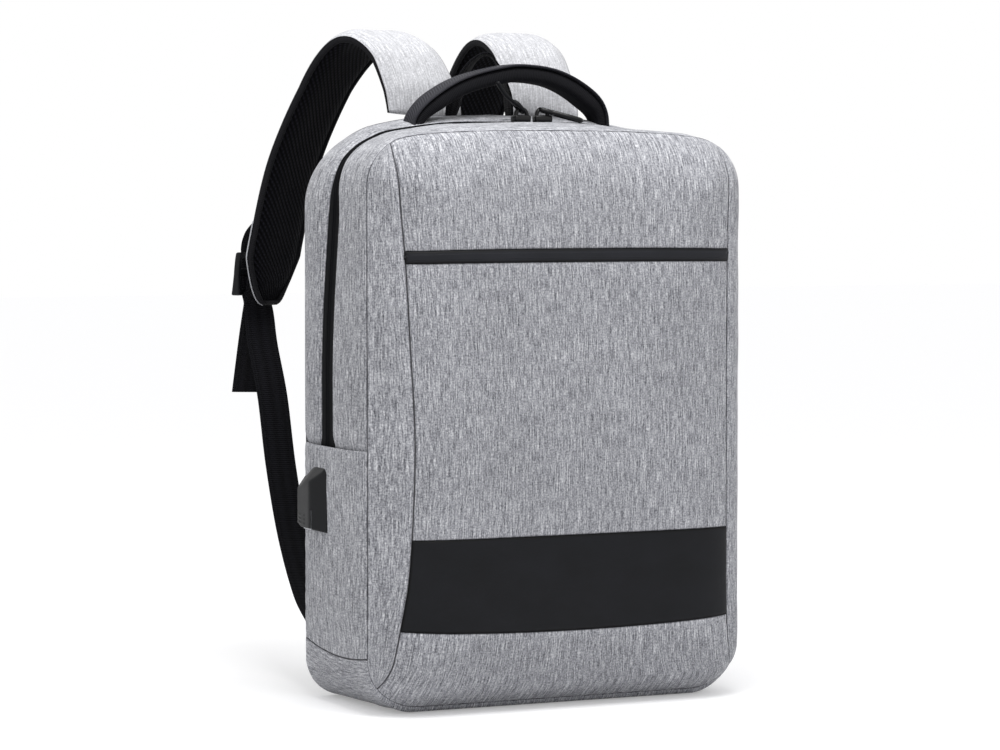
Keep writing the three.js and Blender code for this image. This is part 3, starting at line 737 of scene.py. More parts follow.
def mainZip():
    sink = 0.0022
    reach = tapeWide + 0.0022  # the tapes run under the folded edges of the cloth
    for name, sign, body, node in (("front_zip_cloth", -1, "lid", "front_zip_tape"),
                                   ("rear_zip_cloth", 1, "bag", "rear_zip_tape")):
        def place(part, share, near, inner):
            fromSlit = 0.0002 + (part if sign > 0 else 1 - part) * (zipGap(share) + 0.0022)
            y = zipAt(share) + sign * fromSlit
            coil = 0.0010 * math.exp(-((fromSlit - 0.0016) / 0.0011) ** 2)
            line = 0.0003 * math.exp(-((fromSlit - 0.0052) / 0.0004) ** 2)
            return archPoint(share, y, coil + line - mix(sink, 0.0007, overTop(share))
                             - 0.0008 * smooth(0.0008, 0, fromSlit), creaseZ - 0.004)
        low, high = sorted((zipY + sign * 0.0002, zipY + sign * reach))
        columns = [(high - low) * i / 26 for i in range(27)]
        archSheet(name, low, high, zipCloth, "zip_tape", [node], body, place, (), thick=0.0008, columns=columns)


gussets()
mainZip()
print("gussets and zip made")


# lower body: side pockets and the bottom

def lowSeam(y):  # where a pocket is sewn to the bottom: it sags, and rises towards the back
    back = (y - seamY) / (backY - seamY)
    return 0.0412 - 0.019 * back + 0.0222 * back * back


def troughPoint(share, y, lift=0.0):
    radius = mix(bag["bottomCorner"], bag["heel"], (y - seamY) / (backY - seamY))
    start = lowSeam(y) - radius
    quarter = radius * math.pi / 2
    half = start + quarter + side - radius
    walked = min(share, 1 - share) * 2 * half
    mirror = -1 if share <= 0.5 else 1
    if walked < start:
        x, z, out = side, start + radius - walked, (1, 0)
    elif walked < start + quarter:
        turn = (walked - start) / radius
        out = (math.cos(turn), -math.sin(turn))
        x, z = side - radius + radius * out[0], radius + radius * out[1]
    else:
        x, z, out = side - radius - (walked - start - quarter), 0.0, (0, -1)
    z = max(0.0004, z + out[1] * lift)
    return Vector((mirror * (x + out[0] * lift), y, z))


def lowerBody():
    deep = backY - seamY
    for sign, word in ((-1, "left"), (1, "right")):
        outer = abs(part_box(f"{word}_side_pocket")[0 if sign < 0 else 1].x)
        tall = creaseZ - lowSeam(0)

        def place(a, b, near):
            y = seamY + a
            z = mix(lowSeam(y), creaseZ + 0.0003, b / tall)
            up = b / tall
            hem = tall - b
            across = math.sin(math.pi * a / deep)
            proud = smooth(0, 0.03, b) * smooth(-0.001, 0.016, min(a, deep - a))
            x = mix(side, outer, proud) + 0.0012 * across * up * proud
            x += ripple((x * sign, y, z), 0.05, 0.0016, 23 + sign) * smooth(0, 0.02, near)
            x += 0.0006 * math.exp(-near / 0.006) * noise.noise(Vector((y, z, sign)) / 0.005)
            x += crease(near) - 0.0011 * math.exp(-hem / 0.0009)
            return Vector((sign * x, y, z - 0.0008 * across * up * up))
        mesh = clothSheet(stops(deep, 0.003), stops(tall, 0.003), place, ("left", "right", "bottom"), 0.5)
        makePiece(f"{word}_pocket_cloth", mesh, [grey, lining], "grey_cloth", "bag", [f"{word}_side_pocket"],
                  0.0017, middle)

    length = 2 * (side + 0.02)

    def under(a, b, near):
        y = seamY + a
        lift = crease(near) - abs(ripple((b, y, 0), 0.04, 0.0012, 31)) * smooth(0, 0.015, near)
        lift -= 0.0005 * math.exp(-near / 0.006) * abs(noise.noise(Vector((y, b, 2)) / 0.005))
        point = troughPoint(b / length, y, lift)
        rolled = math.pi * min(1, a / bag["welt"])  # its front edge rolls up to the seam of the front
        point.z += bag["footLift"] * (1 - smooth(0, 0.04, point.z)) * (1 + math.cos(rolled)) / 2
        point.y -= 0.0016 * math.sin(rolled)
        return point
    mesh = clothSheet(stops(deep, 0.003), stops(length, 0.003), under)
    uvs = mesh.loops.layers.uv["Cloth"]
    for face in mesh.faces:
        for loop in face.loops:  # the bottom is cut with its warp from front to back
            loop[uvs].uv = (loop[uvs].uv[1], loop[uvs].uv[0])
    makePiece("bottom_cloth", mesh, [grey, lining], "grey_cloth", "bag", ["bottom_panel"], 0.0020, middle)


lowerBody()
print("lower body made")


# back of the bag

def backShape():
    def place(a, b, near):
        z = max(0.0006, b)
        x = (a / side - 1) * (halfWidth(b, backTop, bag["heel"], bag["backCorner"]) - 0.0004)
        puff = 0.0014 * smooth(0, 0.02, near) + ripple((x, 0, z), 0.05, 0.0008, 41) * smooth(0, 0.02, near)
        return settle(Vector((x, backY - 0.0003 + crease(near, 0.002) + puff, z)))
    mesh = clothSheet(stops(2 * side, 0.004), stops(backTop, 0.004), place)
    makePiece("back_cloth", mesh, [lining, lining], "black_lining", "bag", ["back_panel"], 0.003, middle)


# swells a padded piece with air pressure in a cloth simulation, and holds the corners whose indices are in sewn
air = dict(pressure=4.0, frames=20, cap=0.0035, stiff=12.0, quality=3)


def inflate(piece, sewn):
    scene = bpy.context.scene
    group = piece.vertex_groups.new(name="sewn")
    group.add(sewn, 1.0, "REPLACE")
    cloth = piece.modifiers.new("air", "CLOTH")
    settings = cloth.settings
    settings.vertex_group_mass = "sewn"
    settings.quality = air["quality"]
    settings.use_pressure = True
    settings.uniform_pressure_force = air["pressure"]
    settings.tension_stiffness = settings.compression_stiffness = air["stiff"]
    settings.effector_weights.gravity = 0
    cloth.point_cache.frame_start, cloth.point_cache.frame_end = 1, air["frames"]
    for step in range(1, air["frames"] + 1):
        scene.frame_set(step)
    swollen = piece.evaluated_get(bpy.context.evaluated_depsgraph_get()).data
    moves = [after.co - before.co for before, after in zip(piece.data.vertices, swollen.vertices)]
    for corner, move in zip(piece.data.vertices, moves):
        corner.co += move * min(1, air["cap"] / max(move.length, 1e-9))
    piece.modifiers.remove(cloth)
    piece.vertex_groups.remove(group)
    scene.frame_set(1)
    print(piece.name, "swelled by up to", round(max(m.length for m in moves) * 1000, 2), "mm")


pad = dict(corner=0.020, crown=0.85, crownReach=0.0065, groove=0.0030, grooveWide=0.0028, fill=0.6)


# a sewn foam pad on the back: a crowned form that pulls in to its edge, with stitched channels across it
def backPad(node, channels=()):
    low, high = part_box(node)
    wide, tall = high.x - low.x, high.z - low.z
    corner, fill = pad["corner"], pad["fill"]

    def place(a, b, near):
        u, v = a / wide * 2 - 1, b / tall * 2 - 1
        over = max(0, abs(v) * tall / 2 - (tall / 2 - corner))
        half = wide / 2 - corner + math.sqrt(max(0, corner ** 2 - over ** 2))
        x, z = (low.x + high.x) / 2 + u * half, low.z + b
        edge = min(near, half * (1 - abs(u)))
        rise = (high.y - low.y) * pad["crown"] * (1 - math.exp(-edge / pad["crownReach"]))
        for channel in channels:
            groove = math.exp(-((b / tall - channel) * tall / pad["grooveWide"]) ** 2)
            rise -= pad["groove"] * groove * smooth(0, 0.008, edge)
        rise += ripple((x, 1, z), 0.03, 0.0007, 5)
        return Vector((x, low.y + 0.0002 + max(0, rise), z))
    mesh = clothSheet(stops(wide, 0.003), stops(tall, 0.003), place)
    closeMesh(mesh)
    piece = makePiece(f"{node}_mesh", mesh, [mesh3d], "air_mesh", "bag", [node])
    seam = piece.data.attributes["seam"].data
    inflate(piece, [corner.index for corner in piece.data.vertices if seam[corner.index].value < 4
                    or any(abs(corner.co.z - low.z - tall * channel) < 0.0022 for channel in channels)])


def yoke():
    low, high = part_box("strap_yoke")
    anchors = [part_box(f"{word}_strap_anchor") for word in ("left", "right")]
    wide, tall = high.x - low.x, anchors[0][1].z - low.z

    def place(a, b, near):
        x, z = low.x + a, low.z + b
        y = backY + 0.0012 + 0.0016 * smooth(0, 0.006, near)
        for box in anchors:
            inside = min(x - box[0].x, box[1].x - x) + 0.006
            y = mix(y, box[1].y + 0.0004, smooth(0, 0.014, inside) * smooth(0.008, 0.024, b))
        return settle(Vector((x, y + ripple((x, 2, z), 0.02, 0.0006, 8) + crease(near, 0.0012), z)))
    mesh = clothSheet(stops(wide, 0.003), stops(tall, 0.003), place)
    makePiece("yoke_cloth", mesh, [grey, lining], "grey_cloth", "bag",
              ["strap_yoke", "left_strap_anchor", "right_strap_anchor"], 0.0016, middle)


def webTabs():
    for word in ("left", "right"):
        low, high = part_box(f"{word}_web_tab")
        wide, tall = high.x - low.x, high.z - low.z

        def place(a, b, near):
            up = b / tall
            narrow = mix(0.55, 1.0, smooth(0, 0.7, up))
            x = (low.x + high.x) / 2 + (a / wide - 0.5) * wide * narrow
            y = low.y + 0.0005 + (0.0018 + 0.0085 * up) * smooth(0, 0.006, near + 0.002)
            return Vector((x, y, low.z + b))
        mesh = clothSheet(stops(wide, 0.002), stops(tall, 0.002), place)
        closeMesh(mesh)
        makePiece(f"{word}_tab_cloth", mesh, [grey], "grey_cloth", "bag", [f"{word}_web_tab"])


backShape()
backPad("back_pad_left", (0.34, 0.67))
backPad("back_pad_right", (0.34, 0.67))
backPad("lumbar_pad")
yoke()
webTabs()
print("back made")


# shoulder straps

strap = dict(rootX=0.049, rootY=0.0665, rootZ=0.428, wide=0.060, tipWide=0.021,
             tipLong=0.036, thick=0.0128, bind=0.0018, steps=130)
splay = {-1: math.radians(28), 1: math.radians(-6)}  # each strap's own way out from the back


def strapPoint(sign, reach, z):
    turn = splay[sign]
    return Vector((sign * (strap["rootX"] + math.sin(turn) * reach), strap["rootY"] + math.cos(turn) * reach, z))


def strapLie(sign):
    def lie(share):
        turn = splay[sign] * min(1, share * 2.2)
        return (math.cos(turn), -sign * math.sin(turn), 0)
    return lie


def strapRoute(sign):
    rise = [(0, 0), (0, 6), (6, 25), (21, 48), (45, 59), (69, 52), (96, 23), (127, -32), (145, -91), (152, -126),
            (153, -142)]
    return smoothRoute([strapPoint(sign, r / 1000, strap["rootZ"] + z / 1000) for r, z in rise], strap["steps"])


def strapHalf(share, length):  # the tip is cut slanting, down to the webbing's width
    left = max(0, (1 - share) * length)
    cut = min(1, left / strap["tipLong"]) ** 0.72
    return mix(strap["tipWide"], strap["wide"], cut) / 2


def bendStrap(piece):  # bakes the piece's placement into its mesh
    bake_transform(piece)


def shoulderStrap(sign, word):
    route = strapRoute(sign)
    length = sum((b - a).length for a, b in zip(route, route[1:]))
    places = stations(route, strapLie(sign))
    count = strap["steps"]
    along = [length * i / count for i in range(count + 1)]
    for name, facing, material, slot, nodes in (
            # the strap's cover uses the grey cloth with painted light
            ("strap_cloth", -1, litStrapGrey, "grey_cloth", ["strap_shell", "strap_foam"]),
            ("strap_air_mesh", 1, mesh3d, "air_mesh", ["strap_mesh"])):
        full = strap["thick"] / 2

        def place(a, b, near):
            index = round(b / length * count)
            share = index / count
            point, wide, out = places[index]
            half = strapHalf(share, length) - strap["bind"] * (0.1 if facing < 0 else 0.6)
            u = a / strap["wide"] * 2 - 1
            fill = min(1, 0.34 + 10 * share) * smooth(-0.004, 0.022, (1 - share) * length)
            swell = (1 - abs(u) ** 5) * full * fill
            swell += ripple(point + wide * u * half, 0.03, 0.0007, sign * 3 + facing) * (1 - abs(u) ** 3) * fill
            return point + wide * (u * half) + out * facing * max(0.0006, swell)
        mesh = clothSheet(stops(strap["wide"], 0.003), along, place, ("left", "right"))
        faceStrap(mesh, places, facing)
        piece = makePiece(f"{word}_{name}", mesh, [material], slot, None, [f"{word}_{node}" for node in nodes])
        bendStrap(piece)
    bindStrap(word, places, length)


def faceStrap(mesh, places, facing):  # points the sheet's faces to the side that it covers
    mesh.normal_update()
    mesh.faces.ensure_lookup_table()
    face = mesh.faces[len(mesh.faces) // 2]
    at = face.calc_center_median()
    nearest = min(places, key=lambda p: (p[0] - at).length)
    if face.normal.dot(nearest[2] * facing) < 0:
        bmesh.ops.reverse_faces(mesh, faces=mesh.faces[:])


def bindStrap(word, places, length):
    count = strap["steps"]
    edge = []
    for way, order in ((-1, range(2, count + 1)), (1, range(count, 1, -1))):
        for i in order:
            point, wide, out = places[i]
            half = strapHalf(i / count, length) - strap["bind"]
            edge.append((point + wide * way * half + out * 0.0016, wide * way, out))
    point, wide, out = places[count]
    tip = (places[count][0] - places[count - 1][0]).normalized()
    turnAt = count - 1
    half = strapHalf(1, length) - strap["bind"]
    corner = [(point + wide * half * u + out * 0.0016, tip, out) for u in (-0.85, -0.6, -0.3, 0, 0.3, 0.6, 0.85)]
    edge = edge[:turnAt] + corner + edge[turnAt:]
    total = sum((b[0] - a[0]).length for a, b in zip(edge, edge[1:]))
    around = 12

    def place(a, b, near):
        index = round(b / total * (len(edge) - 1))
        point, sideways, outwards = edge[index]
        turn = 2 * math.pi * a
        thick = 0.0026 * min(1, 0.5 + index / 12, 0.5 + (len(edge) - 1 - index) / 12)
        return point + sideways * math.cos(turn) * strap["bind"] + outwards * math.sin(turn) * thick
    mesh = clothSheet([i / around for i in range(around + 1)],
                      [total * i / (len(edge) - 1) for i in range(len(edge))], place, ())
    closeMesh(mesh)
    piece = makePiece(f"{word}_strap_binding", mesh, [binding], "black_webbing")
    bendStrap(piece)


# the grey cover's edge shows as a thin pale line along the strap's outer side near its tip
def paleEdge(sign, word):
    places = stations(strapRoute(sign), strapLie(sign))
    count = strap["steps"]
    length = sum((b[0] - a[0]).length for a, b in zip(places, places[1:]))
    line, way = [], (places[-1][0] - places[-2][0]).normalized()
    for index in range(int(count * 0.80), count + 1):
        point, wide, out = places[index]
        line.append(point - wide * (strapHalf(index / count, length) + 0.0004) - out * 0.0004)
    line += [point - wide * strapHalf(1, length) * share + way * 0.0015 for share in (0.7, 0.3)]
    mesh = bandMesh(line, strapLie(sign), roundedSection(0.0005, 0.0005, 2), around=8)
    piece = makePiece(f"{word}_strap_edge", mesh, [paleThread], "grey_cloth")
    bendStrap(piece)


lockZ = (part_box("left_ladder_lock")[0].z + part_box("left_ladder_lock")[1].z) / 2
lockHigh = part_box("left_ladder_lock")[1].z - lockZ
lockReach = 0.1645  # from the strap's root, out along its own plane
lock = dict(wide=0.034, tall=0.030, thick=0.0052, bar=0.0052, slot=0.0072, slotHalf=0.0130, edge=0.0011)
webWide, webThick = 0.025, 0.0015


def flatBand(name, points, steps, wide, thick, lie, material, slot, body=None, replaces=()):
    route = smoothRoute(points, steps)
    mesh = bandMesh(route, lie, roundedSection(wide / 2, thick / 2, 5), around=16)
    return makePiece(name, mesh, [material], slot, body, replaces)


def onStrap(sign, z):  # just off the outer face of the hanging part, at a height
    route = stations(strapRoute(sign), strapLie(sign))
    point, wide, out = min(route[len(route) // 2:], key=lambda station: abs(station[0].z - z))
    outer = out if out.dot(strapPoint(sign, 1, 0) - strapPoint(sign, 0, 0)) > 0 else -out
    return point + outer * (strap["thick"] / 2 + 0.0008)


def strapWebbing(sign, word):
    lie = strapLie(sign)
    level = lambda share: lie(1)

    def turned(share):  # the hanging webbing turns to face straight back
        turn = splay[sign] * (1 - smooth(0.03, 0.16, share))
        return (math.cos(turn), -sign * math.sin(turn), 0)

    def tailLie(share):
        turn = splay[sign] * mix(1.3, 0.35, share)
        return (math.cos(turn), -sign * math.sin(turn), 0)
    under = lockZ - lockHigh
    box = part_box(f"{word}_lower_webbing")
    tabX, tabZ = sign * 0.129, box[0].z
    free = {-1: [(0.121, 0.193, 0.67), (0.121, 0.176, 0.455), (0.1225, 0.148, 0.244), (0.126, 0.108, 0.079)],
            1: [(0.049, 0.205, 0.67), (0.073, 0.181, 0.455), (0.104, 0.149, 0.244), (0.126, 0.108, 0.079)]}[sign]
    points = [strapPoint(sign, lockReach + 0.0050, lockZ + 0.0115),
              strapPoint(sign, lockReach + 0.0062, lockZ - 0.004), strapPoint(sign, lockReach + 0.0030, under - 0.001),
              strapPoint(sign, lockReach - 0.0012, under - 0.012), strapPoint(sign, 0.159, 0.2547)]
    points += [Vector((sign * x, y, mix(tabZ, under, share))) for x, y, share in free]
    points += [Vector((tabX, 0.0707, tabZ)), Vector((tabX, 0.0630, tabZ - 0.012))]
    piece = flatBand(f"{word}_lower_web", points, 90, webWide, webThick, turned, webbing, "black_webbing", None,
                     [f"{word}_lower_webbing"])
    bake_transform(piece)
    above = lockZ + lockHigh
    holder = [onStrap(sign, above + 0.036), onStrap(sign, above + 0.028), strapPoint(sign, 0.1625, above + 0.0185),
              strapPoint(sign, 0.1678, above + 0.0105), strapPoint(sign, lockReach + 0.0052, above + 0.003),
              strapPoint(sign, lockReach + 0.0046, above - 0.0035)]
    flatBand(f"{word}_holder_web", holder, 30, webWide, 0.0016, level, webbing, "black_webbing", f"{word}_strap",
             [f"{word}_lock_holder"])
    out = lockReach + 0.0008
    tail = [strapPoint(sign, out, lockZ + 0.006), strapPoint(sign, out - 0.0002, lockZ - 0.010),
            strapPoint(sign, out + 0.0052, lockZ - 0.048), strapPoint(sign, out + 0.0110, lockZ - 0.094)]
    flatBand(f"{word}_tail_web", tail, 36, webWide, webThick, tailLie, webbing, "black_webbing", f"{word}_tail",
             [f"{word}_strap_tail"])


# the ladder lock: a moulded frame with a middle bar, its edges rounded over
def ladderLock(sign, word):
    wide, tall, thick, bar, slot = (lock[key] for key in ("wide", "tall", "thick", "bar", "slot"))
    mesh = bmesh.new()
    outer = bmesh.ops.create_grid(mesh, x_segments=4, y_segments=5, size=0.5)["verts"]
    half, inner = wide / 2, lock["slotHalf"]
    xs = [-half, -inner, 0, inner, half]
    zs = [-tall / 2, -bar / 2 - slot, -bar / 2, bar / 2, bar / 2 + slot, tall / 2]
    for corner in outer:
        i, j = round((corner.co.x + 0.5) * 4), round((corner.co.y + 0.5) * 5)
        corner.co = Vector((xs[i], 0, zs[j]))
    holes = [f for f in mesh.faces if abs(f.calc_center_median().x) < inner
             and bar / 2 < abs(f.calc_center_median().z) < bar / 2 + slot]
    bmesh.ops.delete(mesh, geom=holes, context="FACES")
    grown = bmesh.ops.extrude_face_region(mesh, geom=mesh.faces[:])["geom"]
    for corner in [g for g in grown if isinstance(g, bmesh.types.BMVert)]:
        corner.co.y += thick
    bmesh.ops.translate(mesh, vec=(0, -thick / 2, 0), verts=mesh.verts[:])
    bmesh.ops.recalc_face_normals(mesh, faces=mesh.faces[:])
    sharp = [e for e in mesh.edges if e.calc_face_angle(0) > 0.5]
    bmesh.ops.bevel(mesh, geom=sharp, offset=lock["edge"], offset_type="OFFSET", segments=3, profile=0.5,
                    affect="EDGES", material=-1)
    turn = -sign * splay[sign]
    centre = strapPoint(sign, lockReach, lockZ)
    for corner in mesh.verts:
        down = (tall / 2 - corner.co.z) / tall
        bulge = 0.0008 * math.cos(corner.co.x / wide * math.pi) + 0.0036 + 0.0042 * math.sqrt(max(0, down))
        lip = 1 + 0.55 * smooth(0.74, 0.9, down)  # the lower bar is a thick lip
        x, y = corner.co.x, corner.co.y * lip + bulge
        corner.co.z -= 0.0034 * smooth(0.5, 1, down)
        corner.co = Vector((x * math.cos(turn) - y * math.sin(turn), x * math.sin(turn) + y * math.cos(turn),
                            corner.co.z)) + centre
    for face in mesh.faces:
        face.smooth = face.calc_area() < 0.00002
    makePiece(f"{word}_lock_frame", mesh, [plastic], "black_plastic", f"{word}_lock", [f"{word}_ladder_lock"])


for sign, word in ((-1, "left"), (1, "right")):
    shoulderStrap(sign, word)
    paleEdge(sign, word)
    strapWebbing(sign, word)
    ladderLock(sign, word)
print("straps made")


# handle, hang loop, sliders and charging port

# half widths and half thicknesses, at the sewn feet and in the grip
handle = dict(span=0.90, footHalf=0.0100, gripHalf=0.0130, footThick=0.0042, gripThick=0.0060,
              tapeFootHalf=0.0106, tapeGripHalf=0.0142, tapeThick=0.0011)


def carryHandle():
    low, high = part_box("handle_webbing")
    centreY, foot, span = (low.y + high.y) / 2, low.z - 0.001, high.x * handle["span"]
    rise = high.z - foot
    shape = [(-1, -0.34), (-0.98, -0.04), (-0.85, 0.29), (-0.64, 0.59), (-0.42, 0.79), (-0.12, 0.95), (0.1, 1),
             (0.4, 0.93), (0.65, 0.73), (0.875, 0.40), (0.98, 0.06), (1, -0.34)]
    route = smoothRoute([(x * span, centreY, foot + z * rise) for x, z in shape], 96)
    length = sum((b - a).length for a, b in zip(route, route[1:]))

    def foldIn(share):  # its ends are pressed flat where they are sewn in
        return smooth(0.006, 0.036, min(share, 1 - share) * length)

    def section(turn, share):
        c, s = math.cos(turn), math.sin(turn)
        fill = foldIn(share)
        half = mix(handle["footHalf"], handle["gripHalf"], fill)
        thick = mix(handle["footThick"], handle["gripThick"], fill)
        return half * curved(c, 0.55), thick * curved(s, 0.70) - thick

    mesh = bandMesh(route, lambda share: (0, 1, 0), section, around=36)
    padding = makePiece("handle_cover", mesh, [binding], "black_webbing", None, ["handle_webbing", "handle_padding"])
    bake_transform(padding)

    def top(turn, share):
        c, s = math.cos(turn), math.sin(turn)
        half = mix(handle["tapeFootHalf"], handle["tapeGripHalf"], foldIn(share))
        return half * curved(c, 0.5), handle["tapeThick"] * curved(s, 0.5) + 0.0004

    mesh = bandMesh(route, lambda share: (0, 1, 0), top, around=20)
    strip = makePiece("handle_top_web", mesh, [twill], "black_webbing")
    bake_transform(strip)


def hangLoop():
    foot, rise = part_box("hang_loop")[0].z - 0.002, 0.0463
    legs = [(-34, -0.05), (-33.6, 0.08), (-28, 0.42), (-17, 0.82), (-4, 1), (6, 0.84), (12.5, 0.42), (14, 0.06),
            (14, -0.05)]
    points = [Vector((x / 1000, 0.0515 + 0.003 * up, foot + up * rise)) for x, up in legs]

    def lie(share):
        turn = 1.1 * (1 - share)
        return (math.sin(turn), math.cos(turn), 0)

    def half(share):
        return mix(0.0062, 0.0108, smooth(0, 0.16, min(share, 1 - share)))
    mesh = bandMesh(smoothRoute(points, 60), lie, roundedSection(half, 0.0008, 5), around=16)
    piece = makePiece("hang_loop_web", mesh, [webbing], "black_webbing", None, ["hang_loop"])
    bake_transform(piece)


# a slider: a cast body, a bridge over it, and a pull that hangs from the bridge
slider = dict(bodyHigh=0.0050, bridgeHigh=0.0092, bridgeThick=0.0014, ringWide=0.0040, ringThick=0.0016,
              tabRoot=0.0034, tabTip=0.0020)


def loopOf(start, along, wide, first, last, half):  # a stadium-shaped loop of points
    loop = []
    for i in range(41):
        c, s = math.cos(2 * math.pi * i / 40), math.sin(2 * math.pi * i / 40)
        stretch = max(0, (last - first) / 2 - half)
        loop.append(start + along * ((first + last) / 2 + c * half + math.copysign(stretch, c)) + wide * (s * half))
    return loop


def zipSlider(word, sign):
    low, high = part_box(f"{word}_slider")
    centre = (low + high) / 2
    base = archPoint(0.5, zipY).z + 0.0002
    mesh = bmesh.new()
    bmesh.ops.create_cube(mesh, size=1.0)
    bmesh.ops.scale(mesh, vec=(high.x - low.x + 0.0015, 0.0100, slider["bodyHigh"]), verts=mesh.verts[:])
    for corner in mesh.verts:  # narrower at the end that leads
        corner.co.y *= 0.70 if corner.co.x * sign < 0 else 1.0
    bmesh.ops.bevel(mesh, geom=mesh.edges[:], offset=0.0014, offset_type="OFFSET", segments=4, profile=0.5,
                    affect="EDGES", material=-1)
    bmesh.ops.translate(mesh, vec=(centre.x, centre.y, base + slider["bodyHigh"] / 2), verts=mesh.verts[:])
    top = slider["bridgeHigh"]
    bridge = [(-0.0046, 0.0026), (-0.0042, top * 0.72), (-0.0020, top), (0.0020, top), (0.0042, top * 0.72),
              (0.0046, 0.0026)]
    route = smoothRoute([(centre.x + x, centre.y, base + z) for x, z in bridge], 24)
    thick = slider["bridgeThick"]
    joinMesh(mesh, bandMesh(route, lambda share: (0, 1, 0), roundedSection(0.0019, thick, 2.6), around=12))
    for face in mesh.faces:
        face.smooth = True
    makePiece(f"{word}_slider_body", mesh, [lacquer], "black_metal", f"{word}_zip_slider", [f"{word}_slider"])
    tabLow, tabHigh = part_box(f"{word}_pull_tab")
    start = Vector((centre.x, zipY, base + top - 0.0004))
    ring = bmesh.new()
    if sign < 0:  # a flat tab, wider at its root, standing up
        end = Vector((tabLow.x, tabLow.y + 0.0025, tabHigh.z - 0.001))
    else:  # a long ring lying on the cloth
        end = Vector((tabHigh.x, tabLow.y + 0.0010, archPoint(0.5, 0).z + 0.0022))
    along = (end - start).normalized()
    wide = (Vector((0, 1, 0)) - along * along.y).normalized()
    tilt = along.cross(wide)
    length = (end - start).length
    thick = slider["ringThick"]
    links = [(-0.0020, 0.0090, 0.0034)] + ([(0.0058, length, slider["ringWide"])] if sign > 0 else [])
    for first, last, half in links:
        loop = loopOf(start, along, wide, first, last, half)
        joinMesh(ring, bandMesh(loop, lambda share: tilt, roundedSection(thick, thick * 0.9, 2.2), around=12))
    if sign < 0:
        def half(share):
            return mix(slider["tabRoot"], slider["tabTip"], smooth(0, 0.7, share))
        route = smoothRoute([start + along * mix(0.0052, length, k / 4) + tilt * (0.0016 * math.sin(k / 4 * math.pi))
                             for k in range(5)], 30)
        joinMesh(ring, bandMesh(route, lambda share: wide, roundedSection(half, 0.0013, 3), around=16))
    for face in ring.faces:
        face.smooth = True
    makePiece(f"{word}_pull_ring", ring, [lacquer if sign > 0 else plastic], "black_metal", f"{word}_zip_pull",
              [f"{word}_pull_tab"])


def joinMesh(target, other):
    data = bpy.data.meshes.new("joined")
    other.to_mesh(data)
    other.free()
    target.from_mesh(data)
    bpy.data.meshes.remove(data)


# the charging port: a moulded hood with a ridge, a sloping top, three ribs and an opening underneath
hood = dict(ridge=15, lean=0.03, topSlope=0.80, backCut=8, round=0.5, ribs=(5.0, 8.0, 11.0))  # mm


def softLeast(values, k):
    return -k * math.log(sum(math.exp(-value / k) for value in values))


def chargingPort():
    low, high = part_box("usb_housing")
    wide, tall = (high.y - low.y) * 1000, (high.z - low.z) * 1000
    proud = (high.x - low.x) * 1000
    across = [0, 0.0001] + [wide * i / 62 for i in range(1, 62)] + [wide - 0.0001, wide]
    up = [0, 0.0001] + [tall * i / 90 for i in range(1, 90)] + [tall - 0.0001, tall]

    def place(a, b, near):
        a, b = a * 1000, b * 1000
        top = tall - hood["backCut"] * smooth(18, wide, a) ** 1.5 - 2.5 * smooth(5, 0, a)
        z = b / tall * top
        out = softLeast([1.6 + 0.46 * a, proud + 0.5 - hood["lean"] * max(0, a - hood["ridge"]),
                         1.4 + (top - z) * hood["topSlope"], 1.2 + (wide - a) * 3, 1.4 + z * 3.5], hood["round"])
        for at in hood["ribs"]:
            out += 0.5 * math.exp(-((b - at) / 0.65) ** 2) * smooth(24, 27, a) * smooth(39, 36, a)
        if a in (0, wide) or b in (0, tall):
            out = 0
        z += (1 - b / tall) * (3.0 * smooth(30, wide, a) - 1.6)
        return Vector((high.x + 0.0003 - max(0, out) / 1000, low.y + a / 1000, low.z + z / 1000))
    mesh = clothSheet([a / 1000 for a in across], [b / 1000 for b in up], place, ())
    closeMesh(mesh)
    piece = makePiece("usb_hood", mesh, [plastic], "black_plastic", "bag", ["usb_housing"])
    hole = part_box("usb_socket")
    size = hole[1] - hole[0]
    cutter = bmesh.new()
    bmesh.ops.create_cube(cutter, size=1.0)
    bmesh.ops.scale(cutter, vec=(size.x + 0.0002, size.y + 0.0004, 0.034), verts=cutter.verts[:])
    bmesh.ops.translate(cutter, vec=((hole[0].x + hole[1].x) / 2, (hole[0].y + hole[1].y) / 2, low.z - 0.002),
                        verts=cutter.verts[:])
    block = newObject("port_cutter", cutter)
    opening = piece.modifiers.new("opening", "BOOLEAN")
    opening.object = block
    opening.operation = "DIFFERENCE"
    bpy.context.view_layer.update()
    cut = bpy.data.meshes.new_from_object(piece.evaluated_get(bpy.context.evaluated_depsgraph_get()))
    piece.modifiers.clear()
    piece.data = cut
    cut.set_sharp_from_angle(angle=math.radians(50))
    bpy.data.objects.remove(block)


carryHandle()
hangLoop()
zipSlider("left", -1)
zipSlider("right", 1)
chargingPort()
print("handle, loop, sliders and port made")


# soft parts inside

# a closed form of two sheets that meet at their edges: lie(a, b, out) gives a place, out goes from -1 to 1
def pillow(across, along, lie, swell):
    halves = []
    for way in (1, -1):
        def place(a, b, near):
            return lie(a, b, way * math.sqrt(1 - (1 - min(1, near / swell)) ** 2))
        halves.append(clothSheet(across, along, place))
    joinMesh(halves[0], halves[1])
    closeMesh(halves[0])
    return halves[0]


# the padded wall before the laptop: foam between lining, stitched across, with rounded upper corners
divider = dict(channels=4, groove=0.0012, corner=0.034)


